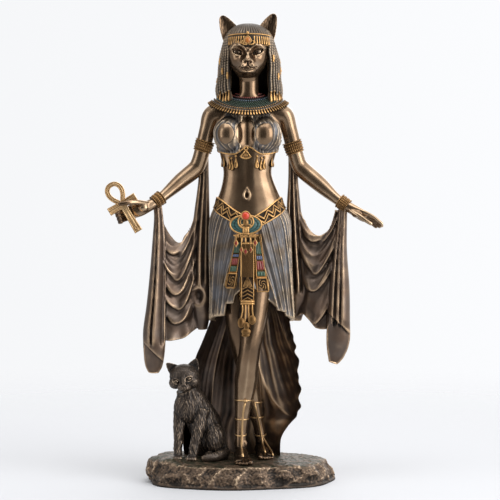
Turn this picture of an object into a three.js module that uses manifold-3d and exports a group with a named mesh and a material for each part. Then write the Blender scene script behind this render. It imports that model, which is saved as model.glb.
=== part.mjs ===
// A statuette of a cat-headed goddess, cast in bronze-powder resin and painted by hand. She stands on a rocky
// base with one foot before the other, arms spread, a shawl looped from armlets to wrists, an ankh in her right
// hand and a sitting cat beside her. Figure, cat and base are one casting. The ankh is a second one, glued in.
// Millimetres, +Z up, the figure faces -Y. The origin is the centre of the base's flat underside.
import * as THREE from "three";
import { mergeVertices } from "three/addons/utils/BufferGeometryUtils.js";
import Module from "manifold-3d";

const wasm = await Module();
wasm.setup();

// Driving dimensions
const BASE_LENGTH = 106;
const BASE_DEPTH = 68;
const BASE_HEIGHT = 12.5; // underside to the soles
const GODDESS_HEIGHT = 247.5; // soles to ear tips
const CAT_HEIGHT = 56.5; // paws to ear tips
const ANKH_HEIGHT = 31;
const ANKH_WIDTH = 17;
const ANKH_THICKNESS = 3;
const ANKH_BAR_WIDTH = 4;
const ANKH_CLEARANCE = 0.3; // glue gap between the ankh and the hand
const SHAWL_THICKNESS = 2.4;

// The figure and the cat are drawn below at these heights, with the soles at SOLE_LEVEL, and then brought to size.
const DRAWN_GODDESS = 247.5;
const GODDESS_TOP = 260;
const DRAWN_CAT = 56.5;
const SOLE_LEVEL = 12.5;
const CENTRE_X = 5.2; // the figure's own upright axis

const TURN = Math.PI * 2;
const clamp = (value, low, high) => Math.min(high, Math.max(low, value));
const mix = (a, b, share) => a + (b - a) * share;
const smooth = (low, high, value) => {
  const share = clamp((value - low) / (high - low), 0, 1);
  return share * share * (3 - 2 * share);
};
const vec = (x, y, z) => new THREE.Vector3(x, y, z);

// Rows of numbers made into count + 1 rows along a smooth curve through them.
function spread(rows, count) {
  const last = rows.length - 1;
  return Array.from({ length: count + 1 }, (_, i) => {
    const along = (i / count) * last;
    const k = Math.min(Math.floor(along), last - 1);
    const f = along - k;
    const [a, b, c, d] = [k - 1, k, k + 1, k + 2].map((n) => rows[clamp(n, 0, last)]);
    return b.map((_, j) => {
      const slope = c[j] - a[j];
      const bend = 2 * a[j] - 5 * b[j] + 4 * c[j] - d[j];
      const twist = 3 * b[j] - a[j] - 3 * c[j] + d[j];
      return 0.5 * (2 * b[j] + slope * f + bend * f * f + twist * f * f * f);
    });
  });
}

// Index triples of the quads between neighbouring rows of a grid of points.
function quads(rows, columns, around) {
  const faces = [];
  for (let r = 0; r < rows - 1; r++) {
    for (let c = 0; c < (around ? columns : columns - 1); c++) {
      const a = r * columns + c;
      const b = r * columns + ((c + 1) % columns);
      faces.push(a, b, b + columns, a, b + columns, a + columns);
    }
  }
  return faces;
}

function geometryOf(points, faces) {
  const geometry = new THREE.BufferGeometry().setFromPoints(points);
  geometry.setIndex(faces);
  return geometry;
}

// A closed skin over rings of points, with a fan at each end.
function skin(rings) {
  const sides = rings[0].length;
  const points = rings.flat();
  const faces = quads(rings.length, sides, true);
  const middle = (ring) => ring.reduce((sum, p) => sum.add(p), vec(0, 0, 0)).divideScalar(sides);
  const top = (rings.length - 1) * sides;
  points.push(middle(rings[0]), middle(rings.at(-1)));
  for (let s = 0; s < sides; s++) {
    const next = (s + 1) % sides;
    faces.push(points.length - 2, next, s, points.length - 1, top + s, top + next);
  }
  return geometryOf(points, faces);
}

// An upright form. Rows are [z, centre x, centre y, half width, reach to the front, reach to the back].
// warp(angle, share of the height) gives a factor on the radius and a shift in height.
function column(rows, sides, steps, warp = () => [1, 0]) {
  const rings = spread(rows, steps).map(([z, cx, cy, half, front, back], i) =>
    Array.from({ length: sides }, (_, s) => {
      const angle = (s / sides) * TURN;
      const [factor, lift] = warp(angle, i / steps);
      const deep = Math.sin(angle) > 0 ? back : front;
      return vec(
        cx + half * factor * Math.cos(angle),
        cy + deep * factor * Math.sin(angle),
        z + lift,
      );
    }),
  );
  return skin(rings);
}

const round = (angle) => [Math.cos(angle), Math.sin(angle), 0];

// A form along a line. Rows are [x, y, z, half width along "across", half depth].
// section(angle, share of the length) gives the place on the ring: across, up, and a shift along the line.
function limb(rows, sides, steps = rows.length - 1, across = vec(1, 0, 0), section = round) {
  const stations = spread(rows, steps);
  const centres = stations.map(([x, y, z]) => vec(x, y, z));
  const rings = stations.map((row, i) => {
    const ahead = centres[Math.min(i + 1, steps)].clone().sub(centres[Math.max(i - 1, 0)]);
    const along = ahead.normalize();
    const side = across.clone().addScaledVector(along, -across.dot(along)).normalize();
    const up = along.clone().cross(side);
    const [wide, deep] = [row[3], row[4] ?? row[3]];
    return Array.from({ length: sides }, (_, s) => {
      const [a, b, shift] = section((s / sides) * TURN, i / steps);
      return centres[i]
        .clone()
        .addScaledVector(side, wide * a)
        .addScaledVector(up, deep * b)
        .addScaledVector(along, shift);
    });
  });
  return skin(rings);
}

// Section of fingers or toes side by side, for a limb of 4 * count sides. They part from the share "from" on,
// and the tips stand out by "tip".
const inARow = (count, groove, tip, from = 0) => (angle, share) => {
  const half = angle / Math.PI;
  const across = half < 1 ? 1 - 2 * half : 2 * half - 3;
  const crown = Math.sin(count * angle) ** 2;
  const parted = smooth(from, 1, share);
  const oval = Math.sign(Math.sin(angle)) * Math.sqrt(1 - across * across);
  const lobed = clamp(3 * Math.sin(angle), -1, 1) * mix(groove, 1, crown);
  return [across, mix(oval, lobed, parted), tip * parted * (crown - across * across)];
};

// A sheet of cloth of even thickness. place(u, v) gives a point of its middle surface, u and v from 0 to 1.
function sheet(place, columns, rows, thickness) {
  const front = [];
  const back = [];
  const step = 0.01;
  for (let r = 0; r <= rows; r++) {
    for (let c = 0; c <= columns; c++) {
      const [u, v] = [c / columns, r / rows];
      const du = place(Math.min(u + step, 1), v).sub(place(Math.max(u - step, 0), v));
      const dv = place(u, Math.min(v + step, 1)).sub(place(u, Math.max(v - step, 0)));
      const normal = du.cross(dv).normalize();
      const point = place(u, v);
      front.push(point.clone().addScaledVector(normal, thickness / 2));
      back.push(point.clone().addScaledVector(normal, -thickness / 2));
    }
  }
  const wide = columns + 1;
  const faces = quads(rows + 1, wide, false);
  const turned = faces.map((_, i) => faces[i - (i % 3) + (2 - (i % 3))] + front.length);
  const rim = [];
  for (let c = 0; c < columns; c++) rim.push(c);
  for (let r = 0; r < rows; r++) rim.push(r * wide + columns);
  for (let c = columns; c > 0; c--) rim.push(rows * wide + c);
  for (let r = rows; r > 0; r--) rim.push(r * wide);
  const edge = [];
  rim.forEach((a, i) => {
    const b = rim[(i + 1) % rim.length];
    edge.push(a, a + front.length, b + front.length, a, b + front.length, b);
  });
  return geometryOf([...front, ...back], [...faces, ...turned, ...edge]);
}

function ellipsoid([x, y, z], [rx, ry, rz], across = 12, rings = 8) {
  return new THREE.SphereGeometry(1, across, rings)
    .rotateX(Math.PI / 2)
    .scale(rx, ry, rz)
    .translate(x, y, z);
}

// A closed geometry as a solid that can be joined and cut.
function solid(geometry) {
  const bare = new THREE.BufferGeometry();
  bare.setAttribute("position", geometry.getAttribute("position"));
  bare.setIndex(geometry.getIndex());
  const merged = mergeVertices(bare, 1e-4);
  return new wasm.Manifold(
    new wasm.Mesh({
      numProp: 3,
      vertProperties: new Float32Array(merged.attributes.position.array),
      triVerts: new Uint32Array(merged.index.array),
    }),
  );
}

const join = (geometries) => geometries.map(solid).reduce((all, next) => all.add(next));

// Rock base: a lobed outline, broken sides, and a flat top with a ledge at the left that the cat leans to.
function rockBase() {
  const sides = 24;
  const lobe = 0.03;
  const ledgeHeight = 3;
  // Height as a share of the base's height, and reach as a share of the outline.
  const levels = [
    [0, 0.98],
    [0.28, 1],
    [0.62, 0.97],
    [0.9, 0.9],
    [1, 0.8],
    [1, 0.5],
  ];
  const topLevel = levels.length - 1;
  const rings = levels.map(([height, reach], level) =>
    Array.from({ length: sides }, (_, s) => {
      const angle = (s / sides) * TURN;
      const lobes = lobe * (Math.sin(3 * angle + 1.1) + 0.6 * Math.sin(7 * angle + 0.4));
      const broken = level > 0 && level < topLevel ? 0.04 * Math.sin(11 * angle + 2 * level) : 0;
      // The outline is a little squarer than an ellipse.
      const square = 1 + 0.06 * Math.sin(2 * angle) ** 2;
      const scale = reach * (1 + lobes + broken) * square;
      const atLeft = level < topLevel ? smooth(0.5, 0.95, -Math.cos(angle)) : 0;
      const ledge = ledgeHeight * atLeft * smooth(0.3, 1, height);
      const rise = level > 0 && level < topLevel - 1 ? 0.05 * Math.sin(5 * angle + 2) : 0;
      return vec(
        (BASE_LENGTH / 2) * scale * Math.cos(angle),
        (BASE_DEPTH / 2) * scale * Math.sin(angle),
        BASE_HEIGHT * (height + rise) + ledge,
      );
    }),
  );
  return solid(skin(rings));
}

// Trunk from under the belt to the jaw, with the bust under the dress.
function trunk() {
  const rows = [
    [138, 6.1, 0, 20, 12, 13.5],
    [147, 6, 0, 21, 12.4, 14],
    [155, 5.7, 0, 18.6, 11, 12],
    [162, 5.5, 0, 15.9, 9.6, 10],
    [168, 5, 0, 14, 8.8, 8.8],
    [173, 4.7, 0, 13.4, 8.5, 8.4],
    [180, 4.9, 0, 15, 8.6, 9],
    [188, 5, 0.5, 17, 9, 9.8],
    [196, 5, 0.5, 18.2, 9, 10.2],
    [203, 5, 1, 18.4, 8, 9.8],
    [208, 5, 1, 17, 7, 8.8],
    [211.5, 5.1, 0.5, 11, 6.2, 7.5],
    [215, 5.2, -1, 6.4, 5.6, 6],
    [221, 5.2, -2, 5.8, 5.2, 5.6],
    [228, 5.1, -4, 5.4, 4.8, 5.6],
  ];
  const bust = [-4.6, 14.2].map((x) => ellipsoid([x, -6.6, 193], [9, 9, 9.4], 10, 6));
  return join([column(rows, 12, 10), ...bust]);
}

// Cat's head of the goddess: skull, bridge of the nose, muzzle pads, eyes and chin.
function head() {
  const skull = [
    [224.4, 5, -3, 4, 6, 6],
    [228, 5.1, -3, 8.6, 9, 9],
    [233, 5.2, -3, 11.4, 10.4, 11],
    [240, 5.4, -2, 11.9, 11.6, 12],
    [246, 5.5, 0, 11.6, 12.8, 12],
    [252.5, 5.5, 1, 3, 3, 3],
  ];
  const bridge = [
    [5, -11.4, 246, 3, 2],
    [4.9, -13, 240.5, 2.3, 2],
    [4.8, -15.8, 234.5, 2.5, 1.8],
    [4.8, -16.8, 232.4, 1.6, 1],
  ];
  const pads = [2.2, 7.5].map((x) => ellipsoid([x, -13.4, 230.2], [3.5, 3.8, 2.9], 7, 4));
  const eyes = [-0.7, 10.4].map((x) => ellipsoid([x, -12.2, 238.2], [3, 1.6, 1.5], 6, 4));
  const chin = ellipsoid([4.8, -11.2, 226.8], [4.2, 4.2, 2.2], 7, 4);
  return join([column(skull, 12, 5), limb(bridge, 6), ...pads, ...eyes, chin]);
}

// One ear: a flattened cone from its root to its tip, hollowed from the front.
function ear([x, y, z], [tipX, tipY, tipZ], half, deep) {
  const at = (share) => [mix(x, tipX, share), mix(y, tipY, share), mix(z, tipZ, share)];
  const shell = [
    [...at(-0.35), half * 1.1, deep],
    [...at(0.1), half, deep],
    [...at(0.55), half * 0.7, deep * 0.7],
    [...at(1), half * 0.08, deep * 0.12],
  ];
  const across = vec(tipZ - z, 0, x - tipX).normalize();
  const forward = -deep * 0.8;
  const hollow = [
    [...at(0.06), half * 0.72, deep * 0.8],
    [...at(0.45), half * 0.5, deep * 0.7],
    [...at(0.8), half * 0.08, deep * 0.2],
  ].map(([hx, hy, hz, wide, thick]) => [hx, hy + forward, hz, wide, thick]);
  return solid(limb(shell, 7, 3, across)).subtract(solid(limb(hollow, 6, 2, across)));
}

// The wig: strands as ribs from the crown to the shoulders, cut open for the face and throat.
function wig() {
  const rows = [
    [209.5, 5.5, 2, 17, 10, 13],
    [213, 5.6, 2, 18.4, 11, 14],
    [218, 5.6, 2, 18.8, 10.6, 14.4],
    [225, 5.7, 1.5, 17.8, 10.2, 14.2],
    [233, 5.7, 1.5, 17.2, 10.6, 14.2],
    [240, 5.6, 1.5, 15.5, 12, 14],
    [246.4, 5.5, 1.5, 13.5, 13.4, 13.5],
    [250.5, 5.4, 1.5, 10.6, 11, 11.6],
    [253, 5.3, 1.5, 6, 6.4, 7],
    [253.8, 5.3, 1.5, 1.5, 1.6, 1.6],
  ];
  const strands = 14;
  const rib = 0.03;
  const hair = column(rows, strands * 2, 6, (angle, share) => [
    1 + rib * Math.cos(strands * angle) * smooth(1, 0.7, share),
    0,
  ]);
  const faceCut = [
    [205, 6.2, -16, 9.6, 20, 16],
    [226, 6.2, -16, 10.8, 20, 14],
    [236, 6, -16, 11.4, 20, 12],
    [243, 5.8, -18, 10.8, 20, 10],
    [244.5, 5.8, -18, 10, 20, 8],
  ];
  const headband = [
    [242, 5.6, 0.6, 14.6, 13.2, 14.4],
    [242.6, 5.6, 0.6, 15.3, 14.2, 15.1],
    [248, 5.5, 0.6, 13.9, 13.4, 14.2],
    [248.8, 5.5, 0.6, 12.6, 12.2, 13],
  ];
  return solid(hair)
    .subtract(solid(column(faceCut, 10, 3)))
    .add(solid(column(headband, 16, 3)));
}

// Broad collar of beads round the neck, lying over the shoulders, chest and back.
function collar() {
  const sides = 20;
  // Points of the section at one angle: share from the neck to the rim, and height above the cloth.
  const section = [
    [0, -1.6],
    [1, -1.6],
    [1.02, 0.4],
    [0.6, 1.4],
    [0, 0.6],
  ];
  const rings = Array.from({ length: sides }, (_, s) => {
    const angle = -(s / sides) * TURN;
    const rimReach = Math.sin(angle) > 0 ? 14 : 14.6;
    const neckTop = 214;
    const rimDrop = mix(3.6, 10.6, Math.abs(Math.sin(angle)) ** 1.4);
    return section.map(([share, above]) =>
      vec(
        CENTRE_X + mix(6, 22.4, share) * Math.cos(angle),
        mix(0.5, 0, share) + mix(5.4, rimReach, share) * Math.sin(angle),
        neckTop - rimDrop * share ** 0.8 + above,
      ),
    );
  });
  const points = [...rings, rings[0]].flat();
  return solid(geometryOf(points, quads(sides + 1, section.length, true)));
}

// Rows of a band round a limb, from one point to another: a rim, the band and a rim.
function band(from, to, radius) {
  const profile = [
    [0, 0.82],
    [0.06, 1],
    [0.94, 1],
    [1, 0.82],
  ];
  return profile.map(([share, factor]) => [
    ...from.map((start, i) => mix(start, to[i], share)),
    radius * factor,
    radius * factor,
  ]);
}

const thumb = (points, thick) =>
  limb(
    points.map((point, i) => [...point, thick * (i === points.length - 1 ? 0.5 : 1)]),
    5,
  );

// Right arm of the figure, at the left of a viewer, with the hand closed on the ankh.
function ankhArm() {
  const rows = [
    [-8, 1, 206, 5, 5],
    [-15, 1.5, 204.5, 5.6, 5],
    [-17.4, 2, 196, 4.4, 4.4],
    ...band([-18.6, 2.4, 190.4], [-21, 3, 182.6], 5.4),
    [-22.4, 3.8, 177.4, 4.6, 4.6],
    [-24.6, 4, 173.6, 4.9, 4.9],
    [-32.8, 1, 166.8, 4.4, 4.5],
    [-40.4, -3.6, 160, 3.3, 3],
    ...band([-43, -5, 157.8], [-46.6, -6.8, 154.8], 4.1),
    [-49.5, -7.8, 153.6, 3.4, 3.2],
    [-55, -9.4, 151.6, 4.4, 2.6],
    [-58.6, -9.4, 150.6, 4, 2],
  ];
  const across = vec(-0.35, 0.1, 0.95);
  const fingers = [
    [-55, -8.8, 151.4, 4.2, 1.7],
    [-61, -7.6, 149.2, 4.2, 1.7],
    [-65.6, -9, 147.4, 4, 1.6],
    [-66.6, -12.4, 146.6, 3.6, 1.4],
  ];
  const gripThumb = [
    [-50.6, -10.4, 155],
    [-56, -15.4, 155.4],
    [-60.5, -17.6, 155.2],
    [-64.4, -17, 154.6],
  ];
  return join([
    limb(rows, 8, undefined, across),
    limb(fingers, 16, 3, across, inARow(4, 0.6, 0.6)),
    thumb(gripThumb, 1.7),
  ]);
}

// Left arm of the figure, at the right of a viewer, with the hand open.
function openArm() {
  const rows = [
    [18, 1, 206, 5, 5],
    [25, 1.5, 204.5, 5.6, 5],
    [27.8, 2, 196, 4.4, 4.4],
    ...band([29.2, 2.4, 189.6], [31.8, 3, 181.8], 5.4),
    [33, 3.8, 177, 4.6, 4.6],
    [35.4, 4, 173.4, 4.9, 4.9],
    [45, 1, 165.2, 4.4, 4.5],
    [53, -3.6, 158, 3.3, 3],
    ...band([56, -5, 156], [60, -6.2, 153.2], 4.1),
    [62.6, -6.8, 151.6, 3.2, 3],
    [67, -7.4, 148.8, 4.2, 2.2],
    [70, -7.8, 146.8, 4, 1.9],
  ];
  const across = vec(0.3, -0.75, 0.6);
  const fingers = [
    [67, -7.4, 148.8, 4.1, 1.6],
    [72, -8, 145.8, 4.1, 1.6],
    [76, -8.4, 143.4, 3.7, 1.5],
    [78.4, -8.6, 142, 2.8, 1],
  ];
  const restThumb = [
    [61, -8.6, 151.4],
    [65.6, -12, 148.4],
    [69.2, -13, 145.6],
    [72, -13, 143.8],
  ];
  return join([
    limb(rows, 8, undefined, across),
    limb(fingers, 16, 3, across, inARow(4, 0.6, 0.8)),
    thumb(restThumb, 1.5),
  ]);
}

// One foot from the heel to the toes, below an ankle. The second point is where the toes end.
function foot([ax, ay], [tx, ty]) {
  const at = (share, lift) => [mix(ax, tx, share), mix(ay, ty, share), SOLE_LEVEL - 0.8 + lift];
  const rows = [
    [...at(-0.34, 1.6), 1.6, 1.6],
    [...at(-0.2, 3.2), 3.6, 3.4],
    [...at(0.1, 3.6), 3.8, 4],
    [...at(0.42, 2.6), 4.3, 3],
    [...at(0.78, 1.6), 5.2, 2],
    [...at(1, 1.2), 5, 1.5],
  ];
  const side = vec(ay - ty, tx - ax, 0).normalize();
  return limb(rows, 20, 4, side, inARow(5, 0.5, 0.7, 0.6));
}

// Both legs. The left one steps across in front, and shows from the thigh down.
function legs() {
  const front = [
    [11, -2, 124, 9, 9],
    [9.6, -7, 106, 8.6, 8.8],
    [7.8, -10.6, 88, 7.2, 7.4],
    [6.2, -11.6, 76.6, 6.3, 6.6],
    [5, -9.6, 67, 6.2, 6.6],
    [4, -6.6, 57, 6.6, 7.2],
    [2.6, -5.4, 45, 5, 5.6],
    [1.4, -5.6, 34, 3.6, 4],
    [0.9, -6.4, 25, 3.2, 3.6],
    [0.9, -6.8, 15, 3.2, 3.8],
  ];
  const back = [
    [-1.4, -1, 106, 8, 8],
    [-0.6, -1.4, 88, 6.6, 6.6],
    [1.6, 0.6, 74, 5.8, 6],
    [5, 6, 60, 5.8, 6],
    [7.8, 9, 46, 4.8, 5],
    [10, 11, 34, 3.6, 3.8],
    [12, 12, 24, 3.2, 3.5],
    [12.6, 12, 15, 3.2, 3.6],
  ];
  const feet = [foot([0.9, -7], [2.6, -24.6]), foot([12.6, 11.6], [15.6, -4.6])];
  return join([limb(front, 8), limb(back, 8), ...feet]);
}

// Angle away from the front, 0 to half a turn.
const fromFront = (angle) => {
  const turned = (angle + TURN / 4) % TURN;
  return Math.min(turned, TURN - turned);
};

// Height of the overskirt's hem at an angle: raised in the middle of the front, dropping in steps to the sides.
function overskirtHem(angle) {
  return 88 + 18 * smooth(1.15, 0, fromFront(angle)) + 1.4 * Math.sin(9 * angle);
}

// Pleated overskirt from the belt to the hem.
function overskirt() {
  const rows = [
    [154, 5.8, 0.5, 18, 10.4, 12.6],
    [150, 5.9, 0.5, 21.4, 12.6, 14.6],
    [144, 6.1, 0.5, 22.8, 13.8, 15.8],
    [132, 6.1, 0.5, 23, 14.4, 17],
    [118, 6.4, 0.5, 23, 14.6, 17.6],
    [104, 6.8, 0.5, 23.2, 15, 18.4],
    [88, 7.2, 0.5, 24, 15.6, 19.6],
  ];
  const pleats = 15;
  const depth = 0.035;
  const [top, bottom] = [rows[0][0], rows.at(-1)[0]];
  const frontDip = 10;
  const rings = spread(rows, 5).map(([z, cx, cy, half, front, back], i) =>
    Array.from({ length: pleats * 2 }, (_, s) => {
      const angle = (s / (pleats * 2)) * TURN;
      const share = i / 5;
      const factor = 1 + depth * Math.cos(pleats * angle) * smooth(0, 0.35, share);
      const deep = Math.sin(angle) > 0 ? back : front;
      // The edge under the belt dips in front, and the hem rises there.
      const upper = top - frontDip * smooth(1.5, 0, fromFront(angle));
      const height = mix(upper, overskirtHem(angle), (top - z) / (top - bottom));
      return vec(cx + half * factor * Math.cos(angle), cy + deep * factor * Math.sin(angle), height);
    }),
  );
  return solid(skin(rings.reverse()));
}

// Long skirt, a thick curtain round the back and sides of the legs, open in front and flying out at one side.
function longSkirt() {
  // Rows: z, left edge x, left edge y, right edge x, right edge y, inside of the back y, outside of the back y.
  const rows = [
    [104, -12, 0, 26, 0, 8, 18],
    [92, -15.5, -2, 29, -2, 10, 20],
    [80, -19, -3, 30, -3, 11, 21.5],
    [66, -24, -3, 33.6, -4, 12.5, 23],
    [52, -28, -2, 34, -5, 14, 24.5],
    [40, -30, 0, 34, -4, 16, 26],
    [31, -31, 1, 30, 1, 17, 27],
    [22, -31, 2, 25, 8, 17.5, 27.5],
    [11.5, -30, 3, 24, 9, 18, 27.5],
  ];
  const around = 13;
  const folds = 7;
  const rings = spread(rows, 7).map(([z, lx, ly, rx, ry, inside, outside], i) => {
    const flare = smooth(0, 0.5, i / 7);
    const arc = (share, depth, wave) => {
      const swing = Math.PI * share;
      const ends = mix(ly, ry, share);
      const fold = wave * flare * Math.sin(folds * 2 * Math.PI * share + 0.3 * i);
      const reach = depth - ends + fold;
      return vec(
        mix(lx, rx, (1 - Math.cos(swing)) / 2) - fold * 0.5 * Math.cos(swing),
        ends + reach * Math.sin(swing) ** 0.7,
        z,
      );
    };
    const outer = Array.from({ length: around }, (_, k) => arc(1 - k / (around - 1), outside, 1.3));
    const inner = Array.from({ length: around }, (_, k) =>
      arc(mix(0.03, 0.97, k / (around - 1)), inside, 1.5).add(vec(0, -0.5, 0)),
    );
    return [...outer, ...inner];
  });
  // Each level is a thin crescent, so the ends are closed with strips and not with fans.
  const sides = rings[0].length;
  const points = rings.flat();
  const faces = quads(rings.length, sides, true);
  const lid = (start, turned) => {
    for (let k = 0; k < around - 1; k++) {
      const [a, b] = [start + k, start + k + 1];
      const [c, d] = [start + sides - 1 - k, start + sides - 2 - k];
      faces.push(...(turned ? [a, b, d, a, d, c] : [a, d, b, a, c, d]));
    }
  };
  lid(0, false);
  lid((rings.length - 1) * sides, true);
  const flipped = faces.map((_, i) => faces[i - (i % 3) + (2 - (i % 3))]);
  return solid(geometryOf(points, flipped));
}

// Shawl on one side: a fall from the armlet, a fall from the wrist, and the cloth that swags between them.
function shawl({ armlet, wrist, elbowFall, wristFall, swagTop, swagBottom }) {
  const folds = (count, deep) => (angle, share) => {
    const factor = 1 + deep * smooth(0, 0.4, share) * Math.cos(count * angle);
    return [factor * Math.cos(angle), factor * Math.sin(angle), 0];
  };
  const fall = (rows) => limb(rows, 8, 5, vec(1, 0, 0), folds(4, 0.12));
  const top = spread(swagTop, 12);
  const bottom = spread(swagBottom, 12);
  const at = (rows, share) => {
    const along = share * (rows.length - 1);
    const k = Math.min(Math.floor(along), rows.length - 2);
    return rows[k].map((value, i) => mix(value, rows[k + 1][i], along - k));
  };
  const ridges = 3;
  const ridgeHeight = 1.4;
  const cloth = sheet(
    (u, v) => {
      const [x0, y0, z0] = at(top, u);
      const [x1, y1, z1] = at(bottom, u);
      const belly = Math.sin(Math.PI * u);
      const wave = ridgeHeight * belly * Math.sin(ridges * TURN * v);
      return vec(mix(x0, x1, v), mix(y0, y1, v) - 3 * belly * Math.sin(Math.PI * v) - wave, mix(z0, z1, v));
    },
    6,
    9,
    SHAWL_THICKNESS,
  );
  return join([fall([armlet, ...elbowFall]), fall([wrist, ...wristFall]), cloth]);
}

const shawlAtAnkh = () =>
  shawl({
    armlet: [-19.6, 5.6, 184, 2.6, 2.2],
    wrist: [-45.2, -5.4, 155, 2.6, 2.4],
    elbowFall: [
      [-19.8, 6, 168, 2.6, 2.6],
      [-20.8, 5.6, 149, 3.8, 3.4],
      [-22, 4.6, 128, 5.3, 4.6],
      [-21.8, 3.4, 107, 5.4, 5],
      [-20.8, 4.4, 92, 4, 3.6],
      [-20.4, 5, 84, 2.6, 2.2],
    ],
    wristFall: [
      [-45.8, -4.6, 143, 2.8, 2.6],
      [-46, -4.6, 122, 4, 3.4],
      [-46.6, -5, 104, 5.1, 4],
      [-47.6, -5, 86, 6.2, 4.4],
      [-47.4, -4, 72, 5.8, 4],
      [-48, -3, 59, 3, 1.8],
    ],
    swagTop: [
      [-43.6, -4, 151],
      [-41, -3, 143],
      [-37.6, -1, 136.6],
      [-33.8, 0, 132.6],
      [-30.4, 0.6, 134.6],
      [-26.6, 3, 143],
      [-22, 5, 158],
    ],
    swagBottom: [
      [-43.4, -3, 80],
      [-40.6, -3, 79.6],
      [-36.6, -3, 80],
      [-33, -2, 79.8],
      [-29, -1, 80.6],
      [-25.4, 2, 83.4],
      [-21.6, 4, 86],
    ],
  });

const shawlAtOpenHand = () =>
  shawl({
    armlet: [30, 5.6, 183, 2.6, 2.2],
    wrist: [57.6, -5.2, 154, 2.8, 2.4],
    elbowFall: [
      [30.2, 6, 168, 2.4, 2.6],
      [30.6, 5.6, 149, 3.6, 3.4],
      [31.6, 4.6, 128, 4.8, 4.6],
      [32.8, 3.4, 108, 5.2, 5],
      [32.6, 4.4, 97, 4.2, 3.6],
      [32.2, 5, 90, 2.6, 2.2],
    ],
    wristFall: [
      [57.4, -4.6, 143, 3, 2.6],
      [56.8, -4.6, 124, 4.4, 3.4],
      [56.4, -5, 106, 5.6, 4],
      [56, -5, 90, 6.2, 4.4],
      [55, -4, 77, 6.2, 4],
      [52.6, -3, 65.4, 2.8, 1.8],
    ],
    swagTop: [
      [55.2, -4, 151],
      [53, -3, 145.6],
      [48.6, -1, 139],
      [44.4, 0, 137],
      [40, 0.6, 139.6],
      [36, 3, 146.4],
      [32.4, 5, 160],
    ],
    swagBottom: [
      [53, -3, 88],
      [49, -3, 86.8],
      [44.6, -3, 86],
      [41.4, -2, 87],
      [38, -1, 91],
      [35, 2, 94],
      [32, 4, 92],
    ],
  });

// A point on the front of the belt line, x across from the middle.
const beltFront = (x) => -13.2 + 0.018 * (x - 6) ** 2;

// Belt in a V, the winged scarab with its sun disc, the hanging bands with a tassel, and the girdle under the bust.
function ornaments() {
  const beltSide = (from, to) =>
    limb(
      [
        [...from, 3.6, 1.6],
        [mix(from[0], to[0], 0.35), beltFront(mix(from[0], to[0], 0.35)), mix(from[2], to[2], 0.42), 3.4, 1.6],
        [mix(from[0], to[0], 0.7), beltFront(mix(from[0], to[0], 0.7)), mix(from[2], to[2], 0.75), 3.3, 1.6],
        [...to, 3.3, 1.6],
      ],
      6,
      3,
      vec(0, 0, 1),
    );
  const backBelt = column(
    [
      [149.6, 6, 0.5, 20.6, 2, 14.8],
      [150.4, 6, 0.5, 21.8, 2, 15.8],
      [155.4, 6, 0.5, 20.6, 2, 14.6],
      [156.4, 6, 0.5, 18.6, 2, 12.6],
    ],
    16,
    3,
  );
  // A hanging band: [left, right] at the foot and at the top, heights and depths from foot to top.
  const bandPlate = ([footLeft, footRight], [topLeft, topRight], [z0, z1], [y0, y1], thick) => {
    const shape = new THREE.Shape([
      new THREE.Vector2(footLeft, z0),
      new THREE.Vector2(footRight, z0),
      new THREE.Vector2(topRight, z1),
      new THREE.Vector2(topLeft, z1),
    ]);
    const slope = Math.atan2(y1 - y0, z1 - z0);
    return new THREE.ExtrudeGeometry(shape, { depth: thick, bevelEnabled: false })
      .rotateX(Math.PI / 2)
      .applyMatrix4(
        new THREE.Matrix4()
          .makeTranslation(0, y0, z0)
          .multiply(new THREE.Matrix4().makeRotationX(-slope))
          .multiply(new THREE.Matrix4().makeTranslation(0, 0, -z0)),
      );
  };
  const wings = ellipsoid([3.9, -14, 142.6], [8.8, 2.4, 5.6], 10, 4);
  const disc = ellipsoid([3.9, -15.8, 147.6], [2.5, 1.8, 2.5], 8, 4);
  const centreBand = bandPlate([0, 8.4], [0.2, 7.6], [97.8, 138], [-14.4, -13], 2.4);
  const sideBands = [
    bandPlate([-7, -2.2], [-2.4, 0.8], [107, 134], [-13.4, -12.8], 2.2),
    bandPlate([11, 16.8], [8.6, 12], [105.4, 134], [-13.4, -12.8], 2.2),
  ];
  const tassel = [
    [4.2, -16.6, 98.4, 3.8, 1.4],
    [4.2, -17.4, 93, 3.6, 1.4],
    [4.4, -18, 88.6, 4.8, 1.6],
    [4, -18.2, 84, 4.2, 1.8],
    [3.6, -17.6, 80.6, 2.2, 1.2],
  ];
  const girdle = [
    [-10.8, -1, 181.4, 1.2],
    [-7.6, -6.6, 182, 1.2],
    [-2, -9.4, 183, 1.2],
    [4.8, -8.8, 187, 1.4],
    [11.6, -9.4, 183, 1.2],
    [17.2, -6.6, 182, 1.2],
    [20.4, -1, 181.4, 1.2],
  ];
  return join([
    beltSide([-15, -3, 153.4], [3.4, -13.4, 142.8]),
    beltSide([26.6, -3, 153.4], [4.6, -13.4, 142.8]),
    backBelt,
    wings,
    disc,
    centreBand,
    ...sideBands,
    limb(tassel, 7, 4),
    limb(girdle, 5, 6, vec(0, 0, 1)),
  ]);
}

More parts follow.
